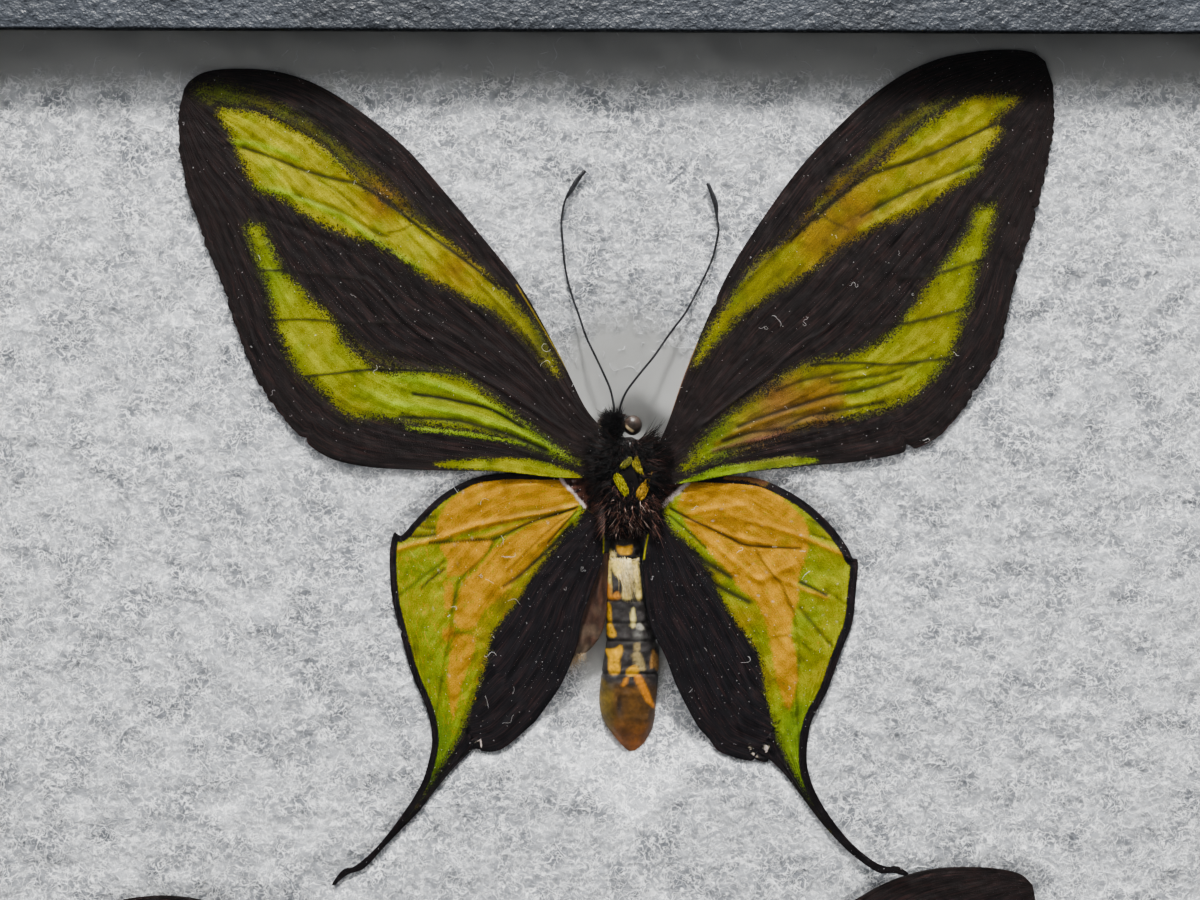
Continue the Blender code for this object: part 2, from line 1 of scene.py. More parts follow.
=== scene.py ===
# Two birdwing butterflies on white batting in a shallow black glazed box.
# Lengths are in metres. What belongs to a butterfly is written in millimetres from the middle
# of its thorax, x to the right and y towards its head, and mm turns that into metres.
import math

import bpy
import numpy as np
from mathutils import Matrix, Vector


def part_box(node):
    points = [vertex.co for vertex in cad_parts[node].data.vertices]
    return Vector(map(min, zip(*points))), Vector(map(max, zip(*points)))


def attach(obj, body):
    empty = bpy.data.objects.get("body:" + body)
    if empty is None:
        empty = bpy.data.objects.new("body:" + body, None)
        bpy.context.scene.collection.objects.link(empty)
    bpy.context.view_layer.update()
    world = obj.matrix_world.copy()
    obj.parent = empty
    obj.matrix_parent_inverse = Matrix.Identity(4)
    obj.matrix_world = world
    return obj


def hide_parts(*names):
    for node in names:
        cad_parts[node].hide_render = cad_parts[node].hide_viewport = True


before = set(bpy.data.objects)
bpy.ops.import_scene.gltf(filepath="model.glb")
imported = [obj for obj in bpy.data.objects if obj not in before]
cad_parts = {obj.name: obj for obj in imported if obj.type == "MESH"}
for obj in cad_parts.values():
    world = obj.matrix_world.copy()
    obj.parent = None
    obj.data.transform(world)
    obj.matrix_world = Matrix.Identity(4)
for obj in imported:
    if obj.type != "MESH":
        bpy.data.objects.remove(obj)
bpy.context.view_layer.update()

mm = 0.001


# Colours and meshes

def linear(red, green, blue):
    # a screen colour, 0 to 255, as the linear colour that a shader takes
    share = np.array([red, green, blue]) / 255
    return np.where(share <= 0.04045, share / 12.92, ((share + 0.055) / 1.055) ** 2.4)


def paint(red, green, blue):
    return (*linear(red, green, blue), 1.0)


def meshFrom(name, points, faces, smooth=True):
    # faces is a list of index arrays, one for each number of corners
    mesh = bpy.data.meshes.new(name)
    mesh.vertices.add(len(points))
    mesh.vertices.foreach_set("co", np.asarray(points, np.float32).ravel())
    corners = np.concatenate([part.ravel() for part in faces]).astype(np.int32)
    sizes = np.concatenate([np.full(len(part), part.shape[1]) for part in faces])
    mesh.loops.add(len(corners))
    mesh.loops.foreach_set("vertex_index", corners)
    mesh.polygons.add(len(sizes))
    mesh.polygons.foreach_set("loop_start", (np.cumsum(sizes) - sizes).astype(np.int32))
    mesh.update(calc_edges=True)
    mesh.validate()
    if smooth:
        mesh.shade_smooth()
    return mesh


def addValues(mesh, name, values):
    # one number or one colour for each point of the mesh
    values = np.asarray(values, np.float32)
    if values.ndim == 1:
        mesh.attributes.new(name, "FLOAT", "POINT").data.foreach_set("value", values)
    else:
        four = np.ones((len(values), 4), np.float32)
        four[:, :3] = values
        mesh.attributes.new(name, "FLOAT_COLOR", "POINT").data.foreach_set("color", four.ravel())


def addFlow(mesh, across, along):
    # a UV map from two numbers for each point of the mesh
    corners = np.empty(len(mesh.loops), np.int32)
    mesh.loops.foreach_get("vertex_index", corners)
    flow = mesh.uv_layers.new(name="flow")
    flow.data.foreach_set("uv", np.stack([across, along], -1)[corners].astype(np.float32).ravel())


def addPiece(mesh, material, slot, *nodes):
    piece = bpy.data.objects.new(mesh.name, mesh)
    bpy.context.scene.collection.objects.link(piece)
    mesh.materials.append(material)
    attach(piece, "root")
    if nodes:
        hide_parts(*nodes)
    return piece


def curveThrough(points, count):
    # Catmull-Rom curve through the points, read at count places evenly by the points' order
    points = np.asarray(points, float)
    place = np.linspace(0, len(points) - 1, count)
    k = np.minimum(place.astype(int), len(points) - 2)
    t = (place - k)[:, None]
    longer = np.vstack([points[:1], points, points[-1:]])
    a, b, c, d = (longer[k + i] for i in range(4))
    return (2 * b + (c - a) * t + (2 * a - 5 * b + 4 * c - d) * t ** 2 + (3 * b - a - 3 * c + d) * t ** 3) / 2


def roundOutline(points, steps=3):
    # closed Catmull-Rom curve, with some steps from each point to the next
    points = np.asarray(points, float)
    k = np.repeat(np.arange(len(points)), steps)
    t = np.tile(np.arange(steps) / steps, len(points))[:, None]
    a, b, c, d = (points[(k + i - 1) % len(points)] for i in range(4))
    return (2 * b + (c - a) * t + (2 * a - 5 * b + 4 * c - d) * t ** 2 + (3 * b - a - 3 * c + d) * t ** 3) / 2


def distanceTo(line, spots):
    # distance from each spot to the nearest stretch of an open line
    line = np.asarray(line, float)
    best = np.full(len(spots), 1e9)
    for start, end in zip(line, line[1:]):
        way = end - start
        share = np.clip((spots - start) @ way / max(way @ way, 1e-12), 0, 1)
        best = np.minimum(best, np.hypot(*(spots - start - share[:, None] * way).T))
    return best


def depthIn(outline, spots):
    # distance to a closed outline, above zero inside it, where a ray to the right crosses it oddly
    closed = np.vstack([outline, outline[:1]])
    inside = np.zeros(len(spots), bool)
    for (ax, ay), (bx, by) in zip(closed, closed[1:]):
        if ay != by:
            crosses = (ay > spots[:, 1]) != (by > spots[:, 1])
            inside ^= crosses & (spots[:, 0] < ax + (spots[:, 1] - ay) * (bx - ax) / (by - ay))
    gap = distanceTo(closed, spots)
    return np.where(inside, gap, -gap)


def nearOutline(outline, spots, reach):
    low, high = np.min(outline, 0) - reach, np.max(outline, 0) + reach
    return ((spots > low) & (spots < high)).all(1)


def coverOf(outline, spots, soft):
    # 1 inside a closed outline and 0 outside, sliding from one to the other over twice soft
    outline = roundOutline(outline)
    near = nearOutline(outline, spots, soft)
    cover = np.zeros(len(spots))
    cover[near] = np.clip(0.5 + depthIn(outline, spots[near]) / (2 * soft), 0, 1)
    return cover


def lineMask(line, spots, width):
    # a bell-shaped ridge of height 1 along a line
    near = nearOutline(line, spots, 3 * width)
    mask = np.zeros(len(spots))
    if near.any():
        smooth = curveThrough(line, 4 * len(line) - 3)
        mask[near] = np.exp(-(distanceTo(smooth, spots[near]) / width) ** 2)
    return mask


def ripples(spots, size, seed, waves=14):
    # smooth noise of about -1 to 1: the sum of plane waves with random directions and phases
    draw = np.random.default_rng(seed)
    angle = draw.uniform(0, 2 * np.pi, waves)
    phase = draw.uniform(0, 2 * np.pi, waves)
    length = size * draw.uniform(0.7, 1.5, waves)
    ways = np.stack([np.cos(angle), np.sin(angle)]) / length * 2 * np.pi
    return np.cos(spots @ ways + phase).sum(1) / math.sqrt(waves)


def unit(vectors):
    return vectors / np.maximum(np.linalg.norm(vectors, axis=-1, keepdims=True), 1e-12)


def tubes(paths, radii, sides):
    # a ring of points round each point of each path, across the path's own direction
    ways = unit(np.gradient(paths, axis=1))
    steep = np.abs(ways.mean(1)[:, 2:]) > 0.75
    axis = np.where(steep, [[1.0, 0.0, 0.0]], [[0.0, 0.0, 1.0]])[:, None, :]
    across = unit(np.cross(np.broadcast_to(axis, ways.shape), ways))
    upward = np.cross(ways, across)
    angle = 2 * np.pi * np.arange(sides) / sides
    ring = across[:, :, None] * np.cos(angle)[:, None] + upward[:, :, None] * np.sin(angle)[:, None]
    points = paths[:, :, None] + ring * radii[:, :, None, None]
    index = np.arange(points.size // 3).reshape(points.shape[:3])
    after = np.roll(index, -1, axis=2)
    sidesOf = np.stack([index[:, :-1], after[:, :-1], after[:, 1:], index[:, 1:]], -1)
    caps = np.concatenate([index[:, 0, ::-1], index[:, -1]])
    return points.reshape(-1, 3), [sidesOf.reshape(-1, 4), caps]


def gridFaces(rows, columns, closed=False):
    # quads of a grid of points, whose rows may run round
    index = np.arange(rows * columns).reshape(rows, columns)
    after = np.roll(index, -1, axis=1)
    if not closed:
        index, after = index[:, :-1], after[:, :-1]
    return np.stack([index[:-1], after[:-1], after[1:], index[1:]], -1).reshape(-1, 4)


# Shader helpers

def addNode(tree, kind, inputs=None, **settings):
    node = tree.nodes.new("ShaderNode" + kind)
    for name, value in settings.items():
        setattr(node, name, value)
    for key, value in (inputs or {}).items():
        if isinstance(value, bpy.types.NodeSocket):
            tree.links.new(value, node.inputs[key])
        else:
            node.inputs[key].default_value = value
    return node


def maths(tree, operation, first, second=0.0, clamp=False):
    return addNode(tree, "Math", {0: first, 1: second}, operation=operation, use_clamp=clamp).outputs[0]


def blendOf(tree, share, first, second, kind="MIX"):
    node = addNode(tree, "Mix", {0: share, 6: first, 7: second}, data_type="RGBA", blend_type=kind)
    return node.outputs[2]


def stretch(tree, value, low, high, toLow=0.0, toHigh=1.0):
    inputs = {"Value": value, "From Min": low, "From Max": high, "To Min": toLow, "To Max": toHigh}
    return addNode(tree, "MapRange", inputs).outputs["Result"]


def noiseOf(tree, vector, scale, detail=2.0, distortion=0.0, roughness=0.5):
    inputs = {"Vector": vector, "Scale": scale, "Detail": detail, "Distortion": distortion,
              "Roughness": roughness}
    return addNode(tree, "TexNoise", inputs).outputs["Fac"]


def scaledBy(tree, vector, factors):
    return addNode(tree, "VectorMath", {0: vector, 1: factors}, operation="MULTIPLY").outputs[0]


def newGroup(name, inputs, outputs):
    # an empty node group with its sockets; a socket's kind is its first letter: v, c or f
    kinds = {"v": "NodeSocketVector", "c": "NodeSocketColor", "f": "NodeSocketFloat"}
    group = bpy.data.node_groups.new(name, "ShaderNodeTree")
    for side, sockets in (("INPUT", inputs), ("OUTPUT", outputs)):
        for label, kind in sockets:
            group.interface.new_socket(name=label, in_out=side, socket_type=kinds[kind])
    return group, group.nodes.new("NodeGroupInput"), group.nodes.new("NodeGroupOutput")


def newMaterial(name):
    material = bpy.data.materials.new(name)
    material.use_nodes = True
    tree = material.node_tree
    return material, tree, tree.nodes["Principled BSDF"]


def useGroup(tree, group, inputs):
    node = addNode(tree, "Group", node_tree=group)
    for key, value in inputs.items():
        if isinstance(value, bpy.types.NodeSocket):
            tree.links.new(value, node.inputs[key])
        else:
            node.inputs[key].default_value = value
    return node


def bumpOf(tree, height, distance, strength=1.0):
    inputs = {"Height": height, "Distance": distance, "Strength": strength}
    return addNode(tree, "Bump", inputs).outputs["Normal"]


def objectPlace(tree):
    return addNode(tree, "TexCoord").outputs["Object"]


def valuesOf(tree, name, output="Fac"):
    return addNode(tree, "Attribute", attribute_name=name).outputs[output]


# Shared effects

def makeScaleGroup():
    # Wing scales: coloured scales lie on a dark ground, and cover says how many of them there are.
    # A fine grain is compared with cover, so the edge of a patch breaks up into single scales.
    group, given, result = newGroup(
        "scaleSpeckle",
        [("Vector", "v"), ("Flow", "v"), ("Cover", "f"), ("Tint", "c"), ("Ground", "c"), ("Line", "f")],
        [("Color", "c"), ("Mask", "f"), ("Height", "f")])
    place, flow = given.outputs["Vector"], given.outputs["Flow"]
    fine = stretch(group, noiseOf(group, place, 6200, 1.0), 0.28, 0.72)
    coarse = stretch(group, noiseOf(group, place, 2300, 2.0), 0.3, 0.7)
    streak = noiseOf(group, scaledBy(group, flow, (9, 210, 1)), 1.0, 3.0)
    fibre = noiseOf(group, scaledBy(group, flow, (22, 150, 1)), 1.0, 3.0)
    grain = maths(group, "ADD", maths(group, "MULTIPLY", fine, 0.5), maths(group, "MULTIPLY", coarse, 0.26))
    grain = maths(group, "ADD", grain, stretch(group, streak, 0.3, 0.7, 0.0, 0.24))
    over = maths(group, "SUBTRACT", maths(group, "MULTIPLY", given.outputs["Cover"], 1.12), grain)
    mask = maths(group, "ADD", maths(group, "MULTIPLY", over, 4.6), 0.5, clamp=True)
    tone = stretch(group, noiseOf(group, place, 6800, 1.0), 0.3, 0.7, 0.66, 1.3)
    patchy = stretch(group, noiseOf(group, place, 420, 2.0), 0.3, 0.7, 0.84, 1.14)
    rays = stretch(group, streak, 0.3, 0.7, 0.8, 1.18)
    patchy = maths(group, "MULTIPLY", patchy, rays)
    tint = blendOf(group, 1.0, given.outputs["Tint"], maths(group, "MULTIPLY", tone, patchy), "MULTIPLY")
    shade = stretch(group, maths(group, "ADD", streak, fibre), 0.75, 1.25, 0.25, 2.1)
    ground = blendOf(group, 1.0, given.outputs["Ground"], maths(group, "MULTIPLY", shade, tone), "MULTIPLY")
    warm = stretch(group, fibre, 0.52, 0.68, 0.0, 0.55)
    ground = blendOf(group, warm, ground, paint(54, 30, 27))
    colour = blendOf(group, mask, ground, tint)
    # Line paints dark lines over the scales: dark veins, and painted shade in the creases of the folds
    colour = blendOf(group, given.outputs["Line"], colour, paint(18, 15, 12))
    group.links.new(colour, result.inputs["Color"])
    group.links.new(mask, result.inputs["Mask"])
    height = maths(group, "ADD", maths(group, "MULTIPLY", fine, 0.6), maths(group, "MULTIPLY", mask, 0.4))
    group.links.new(height, result.inputs["Height"])
    return group


def makeThreadGroup():
    # Loose curly threads: thin bands where a noise crosses its middle value, several sets of them
    # with their own sizes, each one fading in and out.
    group, given, result = newGroup("looseThreads", [("Vector", "v"), ("Width", "f")], [("Threads", "f")])
    total = None
    for scale, shift, wide in ((520, 0.0, 0.7), (840, 3.1, 1.0), (1250, 7.7, 1.4)):
        place = addNode(group, "VectorMath", {0: given.outputs["Vector"], 1: (shift, shift, 0.0)}).outputs[0]
        field = noiseOf(group, place, scale, 1.5, 0.6)
        off = maths(group, "ABSOLUTE", maths(group, "SUBTRACT", field, 0.5))
        reach = maths(group, "MULTIPLY", given.outputs["Width"], wide)
        thread = maths(group, "SUBTRACT", 1.15, maths(group, "DIVIDE", off, reach), clamp=True)
        fade = stretch(group, noiseOf(group, place, scale * 0.9, 1.0), 0.4, 0.56)
        part = maths(group, "MULTIPLY", thread, fade)
        total = part if total is None else maths(group, "MAXIMUM", total, part)
    group.links.new(total, result.inputs["Threads"])
    return group


def makeGrainGroup():
    # Pebbled covering: rounded cells with fine crinkles between and over them, and scattered specks that are painted as
    # glints on the grain
    group, given, result = newGroup(
        "pebbleGrain", [("Vector", "v"), ("Size", "f")], [("Height", "f"), ("PaintedGlint", "f")])
    place = given.outputs["Vector"]
    warped = noiseOf(group, place, 900, 2.0)
    bent = addNode(group, "VectorMath", {0: place, 1: warped}, operation="ADD")
    group.links.new(maths(group, "MULTIPLY", warped, 0.0009), bent.inputs[1])
    cells = addNode(group, "TexVoronoi", {"Vector": bent.outputs[0], "Scale": given.outputs["Size"]},
                    feature="SMOOTH_F1").outputs["Distance"]
    crinkle = noiseOf(group, place, 2600, 3.0)
    height = maths(group, "SUBTRACT", maths(group, "MULTIPLY", crinkle, 0.55), maths(group, "MULTIPLY", cells, 0.9))
    group.links.new(height, result.inputs["Height"])
    # painted glints: a mask of scattered specks
    paintedGlint = stretch(group, noiseOf(group, place, 3300, 2.0), 0.6, 0.72)
    group.links.new(paintedGlint, result.inputs["PaintedGlint"])
    return group


scaleGroup = makeScaleGroup()
threadGroup = makeThreadGroup()
grainGroup = makeGrainGroup()


# Box: lid, tray, glass and pins

lidFacts = {
    "lipWidth": 8.0 * mm,
    "lipThickness": 1.5 * mm,
    "wall": 1.2 * mm,
    "edgeRound": 1.1 * mm,
    "lipRound": 0.55 * mm,
    "cornerRound": 1.6 * mm,
    "sag": 0.12 * mm,  # how far the covering lies from flat
}


def boardMaterial(name, colour, pebble):
    material, tree, shader = newMaterial(name)
    place = objectPlace(tree)
    grain = useGroup(tree, grainGroup, {"Vector": place, "Size": pebble})
    cloud = stretch(tree, noiseOf(tree, place, 60, 3.0), 0.35, 0.65)
    base = blendOf(tree, cloud, paint(*colour), paint(*(c * 1.35 for c in colour)))
    # painted shade: where shade is 1 the covering is drawn at half its colour
    base = blendOf(tree, valuesOf(tree, "shade"), base, paint(*(c * 0.5 for c in colour)))
    worn = valuesOf(tree, "worn")
    flecks = stretch(tree, noiseOf(tree, place, 700, 4.0), 0.62, 0.7)
    base = blendOf(tree, maths(tree, "MULTIPLY", worn, flecks), base, paint(176, 160, 138))
    # painted highlight: pale bluish glints on the grain
    base = blendOf(tree, maths(tree, "MULTIPLY", grain.outputs["PaintedGlint"], 0.55), base, paint(150, 156, 166))
    tree.links.new(base, shader.inputs["Base Color"])
    rough = stretch(tree, noiseOf(tree, place, 300, 2.0), 0.3, 0.7, 0.34, 0.52)
    tree.links.new(rough, shader.inputs["Roughness"])
    shader.inputs["Specular IOR Level"].default_value = 0.62
    tree.links.new(bumpOf(tree, grain.outputs["Height"], 0.35 * mm, 0.9), shader.inputs["Normal"])
    return material


def lidPiece():
    # The wall's section, from the bottom outside over the top, round the lip and down inside, is
    # carried round a rectangle with round corners that shrinks with the section's depth.
    low, high = (np.array(corner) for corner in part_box("lid"))
    halfX, halfY = high[0], high[1]
    f = lidFacts
    underLip = high[2] - f["lipThickness"]
    corners = [
        (0.0, low[2], 0.2 * mm), (0.0, high[2], f["edgeRound"]),
        (f["lipWidth"], high[2], f["lipRound"]), (f["lipWidth"], underLip, f["lipRound"]),
        (f["wall"], underLip, 0.15 * mm), (f["wall"], low[2], 0.2 * mm),
    ]
    section = []
    count = len(corners)
    for i, (depth, height, radius) in enumerate(corners):
        here = np.array([depth, height])
        back = unit(np.array(corners[i - 1][:2]) - here)
        ahead = unit(np.array(corners[(i + 1) % count][:2]) - here)
        turn = np.linspace(0, np.pi / 2, 7)[:, None]
        centre = here + (back + ahead) * radius
        section.append(centre - ahead * radius * np.cos(turn) - back * radius * np.sin(turn))
        start, end = here + ahead * radius, np.array(corners[(i + 1) % count][:2])
        end = end - ahead * corners[(i + 1) % count][2]
        pieces = max(2, int(np.linalg.norm(end - start) / (0.7 * mm)))
        section.append(start + (end - start) * np.linspace(0, 1, pieces + 1)[1:-1, None])
    section = np.concatenate(section)
    depth, height = section[:, 0], section[:, 1]
    steps = 90
    ways = [(1, 0), (0, 1), (-1, 0), (0, -1)]
    ring = []
    for k, (wx, wy) in enumerate(ways):
        nx, ny = wy, -wx
        along = np.linspace(-1, 1, steps)[:, None]
        cornerRadius = np.maximum(f["cornerRound"] - depth, 0.12 * mm)
        straight = (halfX if wx else halfY) - depth - cornerRadius
        outward = (halfY if wx else halfX) - depth
        ring.append(np.stack([along * straight * wx + outward * nx, along * straight * wy + outward * ny], -1))
        turn = np.linspace(0, np.pi / 2, 7)[1:-1, None]
        middle = np.stack([straight * wx + (outward - cornerRadius) * nx,
                           straight * wy + (outward - cornerRadius) * ny], -1)
        arc = (np.cos(turn)[..., None] * np.array([nx, ny]) + np.sin(turn)[..., None] * np.array([wx, wy]))
        ring.append(middle[None] + arc * cornerRadius[None, :, None])
    flat = np.concatenate(ring)
    points = np.concatenate([flat, np.broadcast_to(height[None, :, None], (*flat.shape[:2], 1))], -1)
    spots = points[..., :2].reshape(-1, 2) / mm
    wobble = (ripples(spots, 9, 21) * 0.5 + ripples(spots, 2.6, 22) * 0.3).reshape(points.shape[:2])
    onTop = np.clip((height - high[2] + 0.4 * mm) / (0.4 * mm), 0, 1)
    points[..., 2] -= onTop * f["sag"] * (0.5 + 0.5 * np.clip(wobble, -1, 1))
    rows, columns = points.shape[:2]
    index = np.arange(rows * columns).reshape(rows, columns)
    index = np.concatenate([index, index[:1]])
    after = np.roll(index, -1, axis=1)
    quads = np.stack([index[:-1], index[1:], after[1:], after[:-1]], -1).reshape(-1, 4)
    mesh = meshFrom("lid_covered", points.reshape(-1, 3), [quads])
    edge = np.exp(-(depth / (0.5 * mm)) ** 2) * onTop
    # painted shade: the lip's inner face, which lies in shade, and the outer sides, which catch more lamp light than
    # the top, are drawn darker than the top
    inner = (depth > f["lipWidth"] - 0.5 * mm) & (height < high[2] - 0.1 * mm)
    addValues(mesh, "shade", np.tile(np.maximum(inner.astype(float), 1 - onTop), rows))
    addValues(mesh, "worn", np.tile(np.clip(edge, 0, 1) * (height > underLip - 0.1 * mm), rows))
    return addPiece(mesh, boardMaterial("black grained covering", (68, 72, 79), 900), "board", "lid")


def trayFinish():
    node = bpy.data.objects["tray"]
    node.data.materials.clear()
    node.data.materials.append(boardMaterial("black tray board", (38, 39, 42), 1500))


def glassFinish():
    material, tree, shader = newMaterial("clear pane")
    shader.inputs["Base Color"].default_value = (0.985, 0.992, 0.99, 1.0)
    shader.inputs["Transmission Weight"].default_value = 1.0
    shader.inputs["IOR"].default_value = 1.47
    place = objectPlace(tree)
    smear = stretch(tree, noiseOf(tree, place, 30, 3.0), 0.5, 0.8, 0.0, 0.035)
    tree.links.new(smear, shader.inputs["Roughness"])
    node = bpy.data.objects["glass"]
    node.data.materials.clear()
    node.data.materials.append(material)
    node.visible_shadow = False


def pinMaterial():
    material, tree, shader = newMaterial("plated pin")
    place = objectPlace(tree)
    brushed = noiseOf(tree, scaledBy(tree, place, (300, 4000, 4000)), 1.0, 2.0)
    base = blendOf(tree, brushed, paint(150, 150, 152), paint(214, 212, 206))
    tree.links.new(base, shader.inputs["Base Color"])
    tree.links.new(stretch(tree, brushed, 0.3, 0.7, 0.2, 0.4), shader.inputs["Roughness"])
    shader.inputs["Metallic"].default_value = 1.0
    return material


def lidPins():
    # a round section that shrinks to the point and swells to a domed head, turned round each pin's axis
    finish = pinMaterial()
    for name in ("lid_pin_1", "lid_pin_2", "lid_pin_3", "lid_pin_4"):
        low, high = (np.array(corner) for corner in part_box(name))
        side = 1.0 if high[0] > 0 else -1.0
        reach, tip = (high[0], low[0]) if side > 0 else (-low[0], -high[0])
        head = reach - 0.7 * mm
        dome = np.linspace(0, np.pi / 2, 9)
        profile = np.concatenate([
            [[tip, 0.02 * mm], [tip + 0.7 * mm, 0.16 * mm], [tip + 1.5 * mm, 0.3 * mm], [head - 0.02 * mm, 0.3 * mm],
             [head, 0.5 * mm], [head, 0.88 * mm], [head + 0.06 * mm, 0.95 * mm]],
            np.stack([head + 0.25 * mm + 0.45 * mm * np.sin(dome), 0.95 * mm * np.cos(dome) + 0.01 * mm], -1)])
        angle = 2 * np.pi * np.arange(32) / 32
        middle = (low + high) / 2
        x = np.broadcast_to(profile[:, :1], (len(profile), 32))
        ring = np.stack([x * side, middle[1] + profile[:, 1:] * np.cos(angle),
                         middle[2] + side * profile[:, 1:] * np.sin(angle)], -1)
        count = ring.shape[0] * ring.shape[1]
        quads = gridFaces(len(profile), 32, closed=True)
        caps = np.stack([np.arange(32)[::-1], count - 32 + np.arange(32)])
        mesh = meshFrom(name + "_turned", ring.reshape(-1, 3), [quads, caps])
        addPiece(mesh, finish, "steel", name)


lidPiece()
trayFinish()
glassFinish()
lidPins()
print("box: lid, tray, glass and pins")


# Butterflies: where each one lies and how its wings are spread beyond the first one's

butterflies = {
    "upper": {"place": (4.1, 56.1), "turn": 0.0, "foreSpread": 0.0, "hindSpread": 0.0,
              "foreTip": 17.3, "tailLift": 1.05, "seed": 1},
    "lower": {"place": (-3.5, -53.9), "turn": 0.6, "foreSpread": 7.3, "hindSpread": 5.6,
              "foreTip": 16.7, "tailLift": 0.0, "seed": 2},
}
wingHeights = {"fore": 16.6, "hind": 15.85, "hindTip": 16.6, "camber": 0.15, "thickness": 0.13, "lift": 0.06}

scaleColours = {
    "yellowGreen": (158, 152, 0), "lime": (142, 170, 0), "olive": (88, 86, 8), "amber": (130, 94, 6),
    "brown": (128, 84, 34), "copper": (132, 88, 58), "gold": (194, 136, 0), "deepGold": (173, 116, 0),
    "green": (136, 142, 0), "leaf": (84, 124, 4), "mustard": (134, 112, 6), "paleGold": (216, 154, 4),
    "glintPearl": (226, 206, 202), "rose": (126, 78, 62),
}

scaleShade = 0.74  # share of light that the scales keep of their colours above
